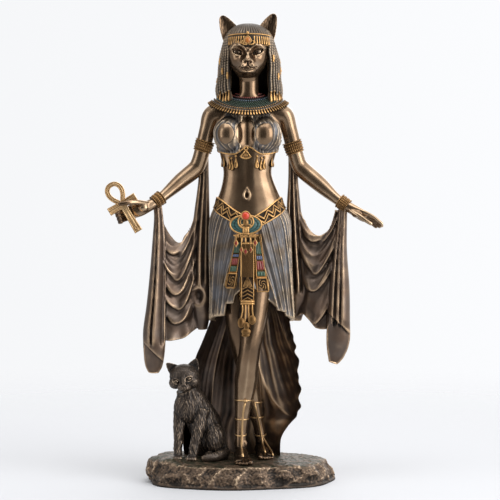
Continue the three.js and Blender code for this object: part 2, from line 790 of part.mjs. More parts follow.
// Sitting cat, drawn where it sits at the goddess's right foot, and brought to size about its seat.
function cat() {
  const body = [
    [-15.4, 9, 12.5, 8, 8],
    [-16.4, 8, 20, 10, 10.6],
    [-19, 5.6, 30, 10, 10],
    [-23, 2, 39, 9, 8.8],
    [-26.4, -1, 46, 8, 7.6],
    [-29, -3, 52, 5.6, 5.6],
  ];
  const chest = ellipsoid([-28.4, -4.4, 41.6], [7.8, 6.4, 9.4], 8, 5);
  const skull = ellipsoid([-30.2, -6.6, 59.4], [8.4, 7.4, 7.4], 10, 7);
  const muzzle = ellipsoid([-29.6, -13, 54.6], [3.5, 3, 2.8], 7, 4);
  const haunch = ellipsoid([-14, 0.6, 24], [6.6, 9, 9.4], 8, 5);
  const farLeg = [
    [-33, -4, 38, 3.8],
    [-33.8, -6, 27, 3.1],
    [-34, -7, 17, 2.7],
    [-34.2, -9.6, 14, 3.1],
    [-34.3, -13, 13.8, 2.2],
  ];
  const nearLeg = [
    [-21, -4, 39, 4],
    [-23, -7.6, 28, 3.3],
    [-25.6, -9.4, 17, 2.8],
    [-26.2, -12, 14, 3.2],
    [-26.4, -15.6, 13.8, 2.3],
  ];
  const hindPaw = ellipsoid([-16.4, -8, 14], [3, 6, 2.4], 6, 4);
  const tail = [
    [-10, 13, 15, 2.6],
    [-7.6, 4, 15, 2.8],
    [-8.6, -5, 15, 2.8],
    [-13, -11.6, 14.8, 2.7],
    [-18.4, -14, 14.4, 2.4],
    [-21, -14.4, 14.2, 1],
  ];
  const ears = [
    [-34.6, -5, 61.6, -41, -5.4, 66.6],
    [-26.4, -5, 62.6, -23.4, -5.4, 69.4],
  ].map(([x, y, z, tipX, tipY, tipZ]) =>
    limb(
      [
        [x, y, z, 4.6, 2.6],
        [mix(x, tipX, 0.5), y, mix(z, tipZ, 0.5), 3.4, 1.9],
        [tipX, tipY, tipZ, 0.4, 0.4],
      ],
      5,
    ),
  );
  const drawn = join([
    limb(body, 10, 5),
    chest,
    skull,
    muzzle,
    haunch,
    limb(farLeg, 7),
    limb(nearLeg, 7),
    hindPaw,
    limb(tail, 6, 5, vec(0, 0, 1)),
    ...ears,
  ]);
  const unit = CAT_HEIGHT / DRAWN_CAT;
  const seat = [-24, 0, SOLE_LEVEL];
  return drawn
    .translate(seat.map((value) => -value))
    .scale(unit)
    .translate([seat[0], seat[1], BASE_HEIGHT]);
}

function goddess() {
  const drawn = [
    trunk(),
    head(),
    ear([-4.6, 1, 249], [-9.8, 1.4, 258.6], 5.1, 2.6),
    ear([15.4, 1, 249.4], [19.8, 1.4, GODDESS_TOP], 5.1, 2.6),
    wig(),
    collar(),
    ankhArm(),
    openArm(),
    legs(),
    overskirt(),
    longSkirt(),
    shawlAtAnkh(),
    shawlAtOpenHand(),
    ornaments(),
  ].reduce((all, next) => all.add(next));
  return drawn
    .translate([0, 0, -SOLE_LEVEL])
    .scale(GODDESS_HEIGHT / DRAWN_GODDESS)
    .translate([0, 0, BASE_HEIGHT]);
}

// Ankh: a flat cross with flared arms under a teardrop loop, drawn upright about its crossing.
function ankh() {
  const half = ANKH_BAR_WIDTH / 2;
  const flare = 0.5;
  const arms = ANKH_WIDTH / 2;
  const loopShare = 0.44;
  const loopTop = ANKH_HEIGHT * loopShare;
  const foot = ANKH_HEIGHT - loopTop;
  const loopHalf = ANKH_WIDTH * 0.31;
  const cross = new THREE.Shape([
    new THREE.Vector2(half + flare, -foot),
    new THREE.Vector2(half, -half),
    new THREE.Vector2(arms, -half - flare),
    new THREE.Vector2(arms, half + flare),
    new THREE.Vector2(-arms, half + flare),
    new THREE.Vector2(-arms, -half - flare),
    new THREE.Vector2(-half, -half),
    new THREE.Vector2(-half - flare, -foot),
  ]);
  const loop = new THREE.Shape();
  loop.moveTo(half * 0.7, 0);
  loop.bezierCurveTo(loopHalf * 1.9, loopTop * 0.62, loopHalf, loopTop, 0, loopTop);
  loop.bezierCurveTo(-loopHalf, loopTop, -loopHalf * 1.9, loopTop * 0.62, -half * 0.7, 0);
  const inside = new THREE.Shape();
  const rim = ANKH_BAR_WIDTH * 0.66;
  inside.moveTo(0, rim);
  inside.bezierCurveTo(loopHalf * 1.2, loopTop * 0.66, loopHalf * 0.6, loopTop - rim, 0, loopTop - rim);
  inside.bezierCurveTo(-loopHalf * 0.6, loopTop - rim, -loopHalf * 1.2, loopTop * 0.66, 0, rim);
  const extrude = (shape, thick) =>
    solid(
      new THREE.ExtrudeGeometry(shape, { depth: thick, bevelEnabled: false, curveSegments: 6 })
        .translate(0, 0, -thick / 2)
        .rotateX(Math.PI / 2),
    );
  return extrude(cross, ANKH_THICKNESS)
    .add(extrude(loop, ANKH_THICKNESS))
    .subtract(extrude(inside, ANKH_THICKNESS * 2));
}

// The ankh as it is held, leaning out from the hand. grow widens it for the gap that the glue fills.
function heldAnkh(grow) {
  const lean = 31;
  const unit = GODDESS_HEIGHT / DRAWN_GODDESS;
  const crossing = [-63.8 * unit, -13.6 * unit, BASE_HEIGHT + (154.4 - SOLE_LEVEL) * unit];
  const fat = [
    (ANKH_WIDTH + 2 * grow) / ANKH_WIDTH,
    (ANKH_THICKNESS + 2 * grow) / ANKH_THICKNESS,
    (ANKH_HEIGHT + 2 * grow) / ANKH_HEIGHT,
  ];
  return ankh().scale(fat).rotate([0, -lean, 0]).translate(crossing);
}

// The outer skin of the casting, without the crumbs of air that crossing forms shut in.
function outerBody(made) {
  return made.decompose().reduce((best, next) => (next.volume() > best.volume() ? next : best));
}

function meshOf(name, made, colour, roughness, metalness) {
  const { vertProperties, triVerts } = outerBody(made).getMesh();
  const geometry = new THREE.BufferGeometry();
  geometry.setAttribute("position", new THREE.BufferAttribute(vertProperties, 3));
  geometry.setIndex(new THREE.BufferAttribute(triVerts, 1));
  const material = new THREE.MeshStandardMaterial({ color: colour, roughness, metalness });
  const mesh = new THREE.Mesh(geometry, material);
  mesh.name = name;
  return mesh;
}

const casting = goddess().add(cat()).add(rockBase());
const statuette = new THREE.Group();
statuette.add(
  meshOf("figurine", casting.subtract(heldAnkh(ANKH_CLEARANCE)), 0x6b5340, 0.42, 0.85),
  meshOf("ankh", heldAnkh(0), 0x9a7c45, 0.4, 0.9),
);

export default statuette;
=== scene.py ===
import math

import bpy
import numpy as np
from mathutils import Matrix, Vector, noise
from mathutils.bvhtree import BVHTree


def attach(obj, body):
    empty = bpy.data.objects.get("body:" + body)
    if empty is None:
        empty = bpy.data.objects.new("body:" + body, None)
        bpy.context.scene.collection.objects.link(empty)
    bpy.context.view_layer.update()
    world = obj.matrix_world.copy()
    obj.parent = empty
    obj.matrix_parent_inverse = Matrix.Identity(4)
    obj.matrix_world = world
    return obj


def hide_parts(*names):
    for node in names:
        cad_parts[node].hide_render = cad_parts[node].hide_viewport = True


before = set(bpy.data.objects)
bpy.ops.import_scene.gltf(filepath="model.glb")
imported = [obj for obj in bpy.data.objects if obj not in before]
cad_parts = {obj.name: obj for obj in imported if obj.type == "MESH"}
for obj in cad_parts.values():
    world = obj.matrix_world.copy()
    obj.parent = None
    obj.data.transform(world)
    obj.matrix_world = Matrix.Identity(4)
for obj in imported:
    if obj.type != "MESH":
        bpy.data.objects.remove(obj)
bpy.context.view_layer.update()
bpy.ops.object.select_all(action="DESELECT")
scene = bpy.context.scene
scene.view_settings.view_transform = "Standard"


# Studio: a pale floor that fades into a pale room, tall soft boxes at both sides, one overhead and one
# behind, and the camera at the photograph's height, distance and slight downward pitch.
CAMERA_PLACE, CAMERA_PITCH = (0.0061, -1.0, 0.172), 2.476
LONG_LENS, SENSOR_WIDTH = 129.56, 36
FLOOR_RADIUS, FADE_START, FADE_END = 1.1, 0.18, 0.62


def linear(colour):
    """An sRGB hex colour as linear red, green, blue and alpha."""
    channels = [int(colour[i:i + 2], 16) / 255 for i in (1, 3, 5)]
    return [c / 12.92 if c <= 0.04045 else ((c + 0.055) / 1.055) ** 2.4 for c in channels] + [1.0]


def add(tree, kind, inputs=(), **settings):
    """Adds a node with its settings. An input takes a value, or a socket that it is linked to."""
    node = tree.nodes.new(kind)
    for name, value in settings.items():
        setattr(node, name, value)
    for name, value in dict(inputs).items():
        if isinstance(value, bpy.types.NodeSocket):
            tree.links.new(value, node.inputs[name])
        else:
            node.inputs[name].default_value = value
    return node


def ramp(tree, value, start, end, low=0.0, high=1.0, curve="SMOOTHSTEP"):
    """A value brought to low at start, to high at end, and to a curve between them."""
    limits = {"From Min": start, "From Max": end, "To Min": low, "To Max": high}
    return add(tree, "ShaderNodeMapRange", {"Value": value, **limits}, interpolation_type=curve).outputs[0]


def maths(tree, operation, *values):
    return add(tree, "ShaderNodeMath", enumerate(values), operation=operation).outputs[0]


def blank_material(name):
    """A new material, its node tree and its shader."""
    material = bpy.data.materials.new(name)
    material.use_nodes = True
    return material, material.node_tree, material.node_tree.nodes["Principled BSDF"]


bpy.ops.object.camera_add(location=CAMERA_PLACE, rotation=(math.radians(90 - CAMERA_PITCH), 0, 0))
scene.camera = bpy.context.object
scene.camera.data.lens = LONG_LENS
scene.camera.data.sensor_width = SENSOR_WIDTH

room = bpy.data.worlds.new("pale studio")
scene.world = room
room.use_nodes = True
walls = room.node_tree
walls.nodes.clear()
heading = add(walls, "ShaderNodeTexCoord").outputs["Generated"]
compass = add(walls, "ShaderNodeSeparateXYZ", {0: heading}).outputs
# The paper behind is a little brighter at the right.
paper_light = ramp(walls, compass["X"], -0.14, 0.14, 0.955, 1.0, "LINEAR")
seen = add(walls, "ShaderNodeBackground", {"Color": linear("#fbfcfe"), "Strength": paper_light})
# What the bronze mirrors: a dark room round the camera, a bright wall from about 15 degrees to the right
# of it, a dimmer one from about 35 degrees to the left, and a pale ceiling.
azimuth = maths(walls, "ARCTAN2", compass["X"], maths(walls, "MULTIPLY", compass["Y"], -1.0))
right_wall = ramp(walls, azimuth, math.radians(11), math.radians(20), high=1.5)
left_wall = ramp(walls, azimuth, math.radians(-31), math.radians(-42), high=0.42)
ceiling = ramp(walls, compass["Z"], 0.35, 0.85, 0.09, 0.6)
mirrored = maths(walls, "ADD", maths(walls, "ADD", right_wall, left_wall), ceiling)
ambient = add(walls, "ShaderNodeBackground", {"Color": linear("#f4f2f0"), "Strength": mirrored})
direct = add(walls, "ShaderNodeLightPath").outputs["Is Camera Ray"]
chosen = add(walls, "ShaderNodeMixShader", {0: direct, 1: ambient.outputs[0], 2: seen.outputs[0]})
add(walls, "ShaderNodeOutputWorld", {"Surface": chosen.outputs[0]})


def soft_box(name, place, aim, size, power):
    """An area light that faces a point, all in metres, with its power in watts."""
    turned = (Vector(aim) - Vector(place)).to_track_quat("-Z", "Y").to_euler()
    bpy.ops.object.light_add(type="AREA", location=place, rotation=turned)
    lamp = bpy.context.object
    lamp.name = name
    lamp.data.shape = "RECTANGLE"
    lamp.data.size, lamp.data.size_y = size
    lamp.data.energy = power


soft_box("left soft box", (-0.8, -0.35, 0.3), aim=(0, 0, 0.13), size=(0.4, 0.9), power=2.5)
soft_box("right soft box", (0.8, -0.5, 0.35), aim=(0, 0, 0.13), size=(0.5, 0.9), power=7)
soft_box("overhead soft box", (0, -0.25, 0.9), aim=(0, 0, 0.1), size=(0.8, 0.5), power=4)
soft_box("rear soft box", (0, 0.9, 0.5), aim=(0, 0, 0.12), size=(1.2, 0.6), power=3)

bpy.ops.mesh.primitive_circle_add(vertices=96, radius=FLOOR_RADIUS, fill_type="NGON")
floor = bpy.context.object
floor.name = "studio_floor"
paper, sweep, matt = blank_material("matt white paper sweep")
matt.inputs["Base Color"].default_value = linear("#b6b8bc")
matt.inputs["Roughness"].default_value = 0.9
floor_place = add(sweep, "ShaderNodeTexCoord").outputs["Object"]
from_middle = add(sweep, "ShaderNodeVectorMath", {0: floor_place}, operation="LENGTH").outputs["Value"]
fade_out = ramp(sweep, from_middle, FADE_START, FADE_END)
clear = add(sweep, "ShaderNodeBsdfTransparent").outputs[0]
faded = add(sweep, "ShaderNodeMixShader", {0: fade_out, 1: matt.outputs[0], 2: clear})
sweep.links.new(faded.outputs[0], sweep.nodes["Material Output"].inputs["Surface"])
floor.data.materials.append(paper)


# Rocky base: part of the one casting, a lobed slab of broken rock with boulders at the left and a grainy,
# mossy top. Cold-cast resin with bronze powder: dark wash in the cracks, edges rubbed back to bright bronze.
MM = 0.001
BASE_LENGTH, BASE_DEPTH, BASE_HEIGHT = 106.0, 68.0, 12.5


def smooth(low, high, value):
    """0 at low, 1 at high and an even S curve between them."""
    share = np.clip((np.asarray(value, float) - low) / (high - low), 0, 1)
    return share * share * (3 - 2 * share)


def whole_turn(count):
    """Angles evenly spaced round a circle."""
    return np.linspace(0, 2 * math.pi, count, endpoint=False)


def spread(rows, count):
    """Rows of numbers made into count + 1 rows along a smooth curve through them."""
    rows = np.array(rows, float)
    last = len(rows) - 1
    along = np.linspace(0, last, count + 1)
    k = np.minimum(along.astype(int), last - 1)
    f = (along - k)[:, None]
    a, b, c, d = (rows[np.clip(k + step, 0, last)] for step in (-1, 0, 1, 2))
    return 0.5 * (2 * b + (c - a) * f + (2 * a - 5 * b + 4 * c - d) * f**2 + (3 * b - a - 3 * c + d) * f**3)


def pick(pieces):
    """Selects these pieces alone, the first of them active."""
    bpy.ops.object.select_all(action="DESELECT")
    for piece in pieces:
        piece.select_set(True)
    bpy.context.view_layer.objects.active = pieces[0]


def close_seams(piece, fill=False):
    """Merges points that lie on each other, fills the open ends if asked, and turns all faces outward."""
    pick([piece])
    bpy.ops.object.mode_set(mode="EDIT")
    bpy.ops.mesh.select_all(action="SELECT")
    bpy.ops.mesh.remove_doubles(threshold=0.001 * MM)
    if fill:
        bpy.ops.mesh.fill_holes(sides=0)
    bpy.ops.mesh.normals_make_consistent(inside=False)
    bpy.ops.object.mode_set(mode="OBJECT")


def roll(name, points, closed=True):
    """A flat grid brought to rows of points in millimetres. Closed: rolled up, with its ends filled."""
    if closed:
        points = np.concatenate([points, points[:, :1]], axis=1)
    rows, columns = points.shape[:2]
    bpy.ops.mesh.primitive_grid_add(x_subdivisions=columns - 1, y_subdivisions=rows - 1)
    piece = bpy.context.object
    piece.name = name
    put(piece, points.reshape(-1, 3))
    if closed:
        close_seams(piece, fill=True)
    return piece


def ball(centre, radii, segments=24, rings=16):
    """A stretched ball, in millimetres."""
    bpy.ops.mesh.primitive_uv_sphere_add(segments=segments, ring_count=rings, radius=MM,
                                         location=[c * MM for c in centre])
    piece = bpy.context.object
    piece.scale = radii
    return piece


def join(name, parts):
    """Parts made into one piece of this name, with their places and sizes written into its mesh."""
    pick(parts)
    if len(parts) > 1:
        bpy.ops.object.join()
    piece = bpy.context.object
    piece.name = name
    piece.data.name = name
    bpy.ops.object.transform_apply(location=True, rotation=True, scale=True)
    return piece


def modify(piece, kind, **settings):
    """Adds a modifier and applies it."""
    pick([piece])
    bpy.ops.object.modifier_add(type=kind)
    modifier = piece.modifiers[-1]
    for name, value in settings.items():
        setattr(modifier, name, value)
    bpy.ops.object.modifier_apply(modifier=modifier.name)


def fuse(name, parts, voxel, rounds):
    """Crossing forms made one skin, as the modeller's wax is, with the joins smoothed over."""
    piece = join(name, parts)
    modify(piece, "REMESH", mode="VOXEL", voxel_size=voxel * MM)
    modify(piece, "SMOOTH", factor=0.5, iterations=rounds)
    return piece


def places(piece):
    """The piece's points, in millimetres."""
    found = np.empty(len(piece.data.vertices) * 3, np.float32)
    piece.data.vertices.foreach_get("co", found)
    return found.reshape(-1, 3).astype(float) / MM


def facings(piece):
    """The way out of the skin at each point."""
    found = np.empty(len(piece.data.vertices) * 3, np.float32)
    piece.data.vertex_normals.foreach_get("vector", found)
    return found.reshape(-1, 3).astype(float)


def put(piece, points):
    piece.data.vertices.foreach_set("co", (points * MM).ravel())
    piece.data.update()


def press(piece, height):
    """Raises or sinks the skin along its normals by height(points, normals), in millimetres."""
    points, normals = places(piece), facings(piece)
    put(piece, points + normals * height(points, normals)[:, None])


def write(piece, name, values):
    """A number for each vertex, which the material reads by name."""
    layer = piece.data.attributes.new(name, "FLOAT", "POINT")
    layer.data.foreach_set("value", np.asarray(values, np.float32))


def wear_and_shade(piece, near=0.06, far=0.4, rounds=(5, 40), start=0.5, reach=None):
    """Writes the point attribute that the materials read: how far each point stands proud of what is round
    it, which a rag rubs bright.
    reach(points, normals) scales it down at each point; some pieces use that for painted shade: in the gaps
    between packed forms, round the ankh grip, under the skirt's hem and on the side away from the light."""
    points, normals = places(piece), facings(piece)
    count = len(points)
    ends = np.empty(len(piece.data.edges) * 2, np.int32)
    piece.data.edges.foreach_get("vertices", ends)
    a, b = ends.reshape(-1, 2).T
    degree = np.maximum(np.bincount(a, minlength=count) + np.bincount(b, minlength=count), 1)
    soft = points.copy()
    for step in range(rounds[1]):
        total = [np.bincount(a, soft[b, i], count) + np.bincount(b, soft[a, i], count) for i in range(3)]
        soft = 0.5 * soft + 0.5 * np.stack(total, axis=1) / degree[:, None]
        if step + 1 == rounds[0]:
            close = ((points - soft) * normals).sum(axis=1)
    broad = ((points - soft) * normals).sum(axis=1)
    rub_and_shade = np.clip(start + 0.3 * np.tanh(close / near) + 0.3 * np.tanh(broad / far), 0, 1)
    write(piece, "rub_and_shade", rub_and_shade * (0.15 + 0.85 * reach(points, normals)) if reach else rub_and_shade)


def grain(points, size, seed=0.0):
    """Soft noise from -1 to 1 with lumps of about this size in millimetres, one size or one for each way."""
    scaled = points / np.asarray(size, float) + seed
    return np.array([noise.noise(Vector(p)) for p in scaled])


def clouds(tree, where, size, detail):
    """Shader noise with lumps of about this size in millimetres."""
    settings = {"Vector": where, "Scale": 1 / (size * MM), "Detail": detail}
    return add(tree, "ShaderNodeTexNoise", settings).outputs["Fac"]


def blend(tree, share, first, second):
    """A colour that goes from the first to the second with the share."""
    return add(tree, "ShaderNodeMix", {0: share, 6: first, 7: second}, data_type="RGBA").outputs[2]


def bronze(name, dark, middle, bright, metal, gloss, grit, wash=None, moss=None):
    """Cold-cast bronze: a dark wash stays in the hollows, and the ridges are rubbed to bright metal. Where a
    piece's wear is scaled down, the darker colour is painted shade.
    wash is a second paint and how much of it is left, and moss is painted where the mesh says so."""
    material, tree, shader = blank_material(name)
    where = add(tree, "ShaderNodeTexCoord").outputs["Object"]
    rub_and_shade = add(tree, "ShaderNodeAttribute", attribute_name="rub_and_shade").outputs["Fac"]
    # Hand rubbing is uneven over about 7 mm, and the cast grit is 0.4 mm across.
    grains = clouds(tree, where, size=0.4, detail=2.0)
    uneven = maths(tree, "MULTIPLY_ADD", clouds(tree, where, size=7, detail=3.0), 0.3, rub_and_shade)
    worn_and_shaded = maths(tree, "MULTIPLY_ADD", grains, grit, uneven)
    level = maths(tree, "SUBTRACT", worn_and_shaded, 0.15 + grit / 2)
    out_of_wash_and_shade = ramp(tree, level, 0.12, 0.52)
    on_ridge = ramp(tree, level, 0.5, 0.92)
    colour = blend(tree, out_of_wash_and_shade, linear(dark), linear(middle))
    if wash:
        # The second wash is left in patches of about 9 mm.
        tint, amount = wash
        patches = ramp(tree, clouds(tree, where, size=9, detail=2.0), 0.35, 0.65, 0.0, amount, "LINEAR")
        held = maths(tree, "MULTIPLY", out_of_wash_and_shade, patches)
        colour = blend(tree, held, colour, linear(tint))
    colour = blend(tree, on_ridge, colour, linear(bright))
    if moss:
        growth = add(tree, "ShaderNodeAttribute", attribute_name="moss").outputs["Fac"]
        colour = blend(tree, growth, colour, linear(moss))
    tree.links.new(colour, shader.inputs["Base Color"])
    shader.inputs["Metallic"].default_value = metal
    # The wash dries a little duller than the metal.
    tree.links.new(ramp(tree, level, 0.1, 0.9, gloss + 0.12, gloss, "LINEAR"), shader.inputs["Roughness"])
    bump = {"Height": grains, "Strength": min(0.3, 3 * grit), "Distance": 0.04 * MM}
    tree.links.new(add(tree, "ShaderNodeBump", bump).outputs[0], shader.inputs["Normal"])
    return material


def dress(piece, material, node="figurine", keep=0.5):
    """Paints a finished piece and ties it to the casting. Its mesh is thinned first, to the share of its
    faces to keep, since the carving needs more points than the finished surface."""
    if keep < 1:
        modify(piece, "DECIMATE", ratio=keep)
    piece.data.materials.clear()
    piece.data.materials.append(material)
    piece.data.shade_smooth()
    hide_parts(node)
    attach(piece, "root")


# Broken rock keeps most of the black-brown wash, and only its edges are rubbed back to tan metal.
rock_finish = bronze("rubbed cold-cast bronze rock", "#1f1914", "#5b4a3b", "#b39c82",
                     metal=0.6, gloss=0.42, grit=0.3, moss="#282b1e")
# The slab from the ground up and over its top: height and reach, as shares of the whole.
rock_levels = [[0, 0.965], [0.1, 0.985], [0.28, 0.99], [0.62, 0.96], [0.86, 0.9], [0.98, 0.82], [1, 0.6],
               [1, 0.2]]
turns = whole_turn(240)
lobes = 0.03 * (np.sin(3 * turns + 1.1) + 0.6 * np.sin(7 * turns + 0.4))
outline = (1 + lobes) * (1 + 0.06 * np.sin(2 * turns) ** 2)
rings = []
for height, share in spread(rock_levels, 28):
    at_left = smooth(0.5, 0.95, -np.cos(turns)) * smooth(0.3, 1, height) * smooth(0.1, 0.7, share)
    rings.append(np.stack([
        BASE_LENGTH / 2 * share * outline * np.cos(turns),
        BASE_DEPTH / 2 * share * outline * np.sin(turns),
        BASE_HEIGHT * height + 2.2 * at_left,
    ], axis=1))
boulders = [ball(centre, radii) for centre, radii in (
    ((-45, -3, 7), (8.5, 13, 7.6)), ((-38, -14, 8.6), (9, 9, 6.6)), ((-34, -20, 6), (9, 9, 5)),
    ((-20, -26.5, 6.5), (10, 5.4, 5)), ((-6, -28, 6), (8, 4.2, 4.6)), ((9, -28.5, 6.2), (9, 4.2, 4.4)),
    ((24, -26, 6.6), (9, 5.4, 4.8)), ((37, -17, 7), (9, 9, 5)), ((43, -4, 6), (8, 11, 6)),
    ((40, 13, 6), (9, 10, 5.6)), ((20, 26, 6), (12, 6, 5)), ((-8, 28, 6), (13, 5, 5)),
    ((-34, 20, 7), (11, 9, 6)), ((-41, 6, 10), (6, 7, 5)),
)]
rock = fuse("rocky_base", [roll("slab", np.array(rings))] + boulders, voxel=0.62, rounds=2)
cracks = bpy.data.textures.new("rock facets", "VORONOI")
cracks.noise_scale = 19 * MM
cracks.weight_1, cracks.weight_2 = -1, 1
rubble = bpy.data.textures.new("rock rubble", "MUSGRAVE")
rubble.musgrave_type = "RIDGED_MULTIFRACTAL"
rubble.noise_scale = 11 * MM
rubble.octaves = 4
crumbs = bpy.data.textures.new("rock crumbs", "CLOUDS")
crumbs.noise_scale = 1.1 * MM
low_down = smooth(0.4, 2.0, places(rock)[:, 2])
on_side = 1 - smooth(0.5, 0.9, facings(rock)[:, 2]) * smooth(9.5, 12, places(rock)[:, 2])
for label, weights in (("rough sides", low_down * (0.2 + 0.8 * on_side)), ("all over", low_down)):
    group = rock.vertex_groups.new(name=label)
    for index, weight in enumerate(weights):
        group.add([index], weight, "REPLACE")
modify(rock, "DISPLACE", texture=cracks, strength=2.6 * MM, mid_level=0.8, vertex_group="rough sides")
modify(rock, "DISPLACE", texture=rubble, strength=1.3 * MM, mid_level=0.9, vertex_group="rough sides")
modify(rock, "DISPLACE", texture=crumbs, strength=1.1 * MM, mid_level=0.6, vertex_group="all over")
settled = places(rock)
settled[:, 2] = np.where(settled[:, 2] < 0.7, 0, settled[:, 2])
put(rock, settled)
# The rock gets darker towards the bottom, over its lowest 2.6 mm.
wear_and_shade(rock, near=0.3, far=1.1, start=0.42, reach=lambda points, normals: smooth(0.2, 2.6, points[:, 2]))
# Moss green paint lies in patches of about 4 mm on the top, and leaves the broken sides bare.
on_top = smooth(0.55, 0.9, facings(rock)[:, 2]) * smooth(9, 11.5, places(rock)[:, 2])
write(rock, "moss", 0.85 * on_top * smooth(-0.35, 0.25, grain(places(rock), 4.0)))
dress(rock, rock_finish, keep=0.55)


# Body: the goddess's bare trunk, arms and hands in one skin, cast in the same resin and rubbed the most, so
# it is the smoothest and brightest part. The fingers are laid on one by one.
# Skin is burnished, so it shows broad soft reflections, with brown left round every joint.
skin_finish = bronze("burnished cold-cast bronze skin", "#1b1510", "#6f5a46", "#b89f82",
                     metal=0.9, gloss=0.17, grit=0.015)
TRUNK_X = 5


def bell(value, centre, width):
    """1 at the centre, falling off on both sides of it over the width."""
    return np.exp(-((value - centre) / width) ** 2)


def unit(vectors):
    return vectors / np.linalg.norm(vectors, axis=1)[:, None]


def column(name, rows, sides, steps, warp=None):
    """An upright form from rows of z, centre x and y, half width, reach to the front and to the back.
    warp(turn, share) is a factor on the widths."""
    turn = whole_turn(sides)[None, :]
    z, cx, cy, half, front, back = (spread(rows, steps)[:, i:i + 1] for i in range(6))
    factor = warp(turn, np.linspace(0, 1, steps + 1)[:, None]) if warp else 1
    deep = np.where(np.sin(turn) > 0, back, front)
    x = cx + half * factor * np.cos(turn)
    y = cy + deep * factor * np.sin(turn)
    return roll(name, np.stack([x, y, z + 0 * x], axis=-1))


def limb_points(rows, sides, steps, across=(1, 0, 0), section=None):
    """Rings along a line of rows x, y, z, half width and half depth. section(turn, share) shapes a ring."""
    rows = [list(row) + [row[3]] * (5 - len(row)) for row in rows]
    stations = spread(rows, steps)
    centres = stations[:, :3]
    along = unit(np.gradient(centres, axis=0))
    across = np.array(across, float)
    side = unit(across - along * (along @ across)[:, None])
    up = np.cross(along, side)
    turn = whole_turn(sides)[None, :]
    share = np.linspace(0, 1, steps + 1)[:, None]
    a, b = section(turn, share) if section else (np.cos(turn), np.sin(turn))
    wide, deep = stations[:, 3:4], stations[:, 4:5]
    return centres[:, None] + side[:, None] * (wide * a)[..., None] + up[:, None] * (deep * b)[..., None]


def limb(name, rows, sides=24, steps=24, across=(1, 0, 0), section=None):
    return roll(name, limb_points(rows, sides, steps, across, section))


def finger(points, thick):
    """A finger through its joints, which gets thinner outward and is round at the tip."""
    rows = [[*p, thick * (1 - 0.08 * i)] for i, p in enumerate(points)]
    last = np.array(points[-1]) - points[-2]
    tip = np.array(points[-1]) + 0.35 * thick * last / np.linalg.norm(last)
    return [limb("finger", rows, sides=14, steps=16),
            ball(tip, [rows[-1][3] * 0.98] * 3, segments=14, rings=10)]


trunk_rows = [
    [138, 6.1, 0, 20, 12, 13.5], [147, 6, 0, 21, 12.4, 14], [155, 5.7, 0, 18.6, 11, 12],
    [162, 5.5, 0, 15.9, 9.6, 10], [168, 5, 0, 14, 8.8, 8.8], [173, 4.7, 0, 13.4, 8.5, 8.4],
    [180, 4.9, 0, 15, 8.6, 9], [188, 5, 0.5, 17, 9, 9.8], [196, 5, 0.5, 18.2, 9, 10.2],
    [203, 5, 1, 18.4, 8, 9.8], [208, 5, 1, 17, 7, 8.8], [211.5, 5.1, 0.5, 11, 6.2, 7.5],
    [215, 5.3, -1, 5.8, 5.4, 6], [221, 5.4, -2, 5.0, 5.0, 5.4], [228, 5.3, -4, 4.8, 4.8, 5.6],
]
BREASTS = [(-5.0, -4.8, 192.8), (14.0, -4.8, 192.8)]
# Both arms from the shoulder to the knuckles, and the way across each palm.
ankh_arm = [
    [-6, 1, 205, 5.4, 5.2], [-14.2, 1.4, 203.6, 5.9, 5.4], [-17.4, 2, 196, 4.7, 4.6],
    [-19.8, 2.7, 186.5, 4.5, 4.5], [-22.4, 3.8, 177.4, 4.5, 4.5], [-24.6, 4, 173.6, 4.8, 4.8],
    [-32.8, 1, 166.8, 4.4, 4.5], [-40.4, -3.6, 160, 3.3, 3.1], [-45, -6, 156.2, 2.9, 2.8],
    [-49.5, -7.8, 153.6, 3.3, 3.0], [-55, -9.4, 151.6, 4.2, 2.4], [-58.6, -9.4, 150.6, 3.6, 1.8],
]
open_arm = [
    [16, 1, 205, 5.4, 5.2], [24.4, 1.4, 203.6, 5.9, 5.4], [27.8, 2, 196, 4.7, 4.6],
    [30.4, 2.7, 186, 4.5, 4.5], [33, 3.8, 177, 4.5, 4.5], [35.4, 4, 173.4, 4.8, 4.8],
    [45, 1, 165.2, 4.4, 4.5], [53, -3.6, 158, 3.3, 3], [57.8, -5.7, 154.6, 2.9, 2.8],
    [62.6, -6.8, 151.6, 3.2, 2.8], [67, -7.4, 148.8, 4.1, 2.1], [70, -7.8, 146.9, 3.8, 1.8],
]
ankh_across, open_across = np.array([-0.35, 0.1, 0.95]), np.array([0.3, -0.75, 0.6])
arms = [limb("ankh arm", ankh_arm, sides=40, steps=90, across=ankh_across),
        limb("open arm", open_arm, sides=40, steps=90, across=open_across)]
# Four fingers on each hand, from the first to the little one: the ankh's curl, and the others lie open.
CURLED_FINGER = [(-55.5, -9, 151.4), (-61, -7.8, 149.4), (-65.4, -9.2, 147.8), (-66.6, -12.2, 147),
                 (-65.2, -14.6, 147.2)]
OPEN_KNUCKLE, OPEN_TIP = np.array([67.5, -7.5, 148.6]), np.array([78.2, -8.6, 142.2])
fingers = []
for place, length in ((2.9, 0.94), (1.0, 1.0), (-0.95, 0.93), (-2.8, 0.8)):
    fingers += finger([np.array(p) + ankh_across * place for p in CURLED_FINGER], thick=1.25)
    knuckle = OPEN_KNUCKLE + open_across * place * 1.05
    far_tip = OPEN_TIP + open_across * place * 0.8
    bend = knuckle * 0.5 + far_tip * 0.5 + np.array([0.2, 0, 0.5])
    fingers += finger([knuckle, bend, knuckle + (far_tip - knuckle) * length], thick=1.2)
# The thumbs.
fingers += finger([np.array(p) for p in (
    (-50.6, -9.6, 154.6), (-56, -14.6, 155.6), (-60.5, -17.4, 155.4), (-64.2, -17.6, 154.8))], thick=1.7)
fingers += finger([np.array(p) for p in (
    (61.5, -8.4, 151), (65.6, -11.6, 148.4), (69.2, -12.8, 145.8), (72, -13, 144))], thick=1.45)
flesh = [ball(centre, (8.6, 7.2, 9.6)) for centre in BREASTS]
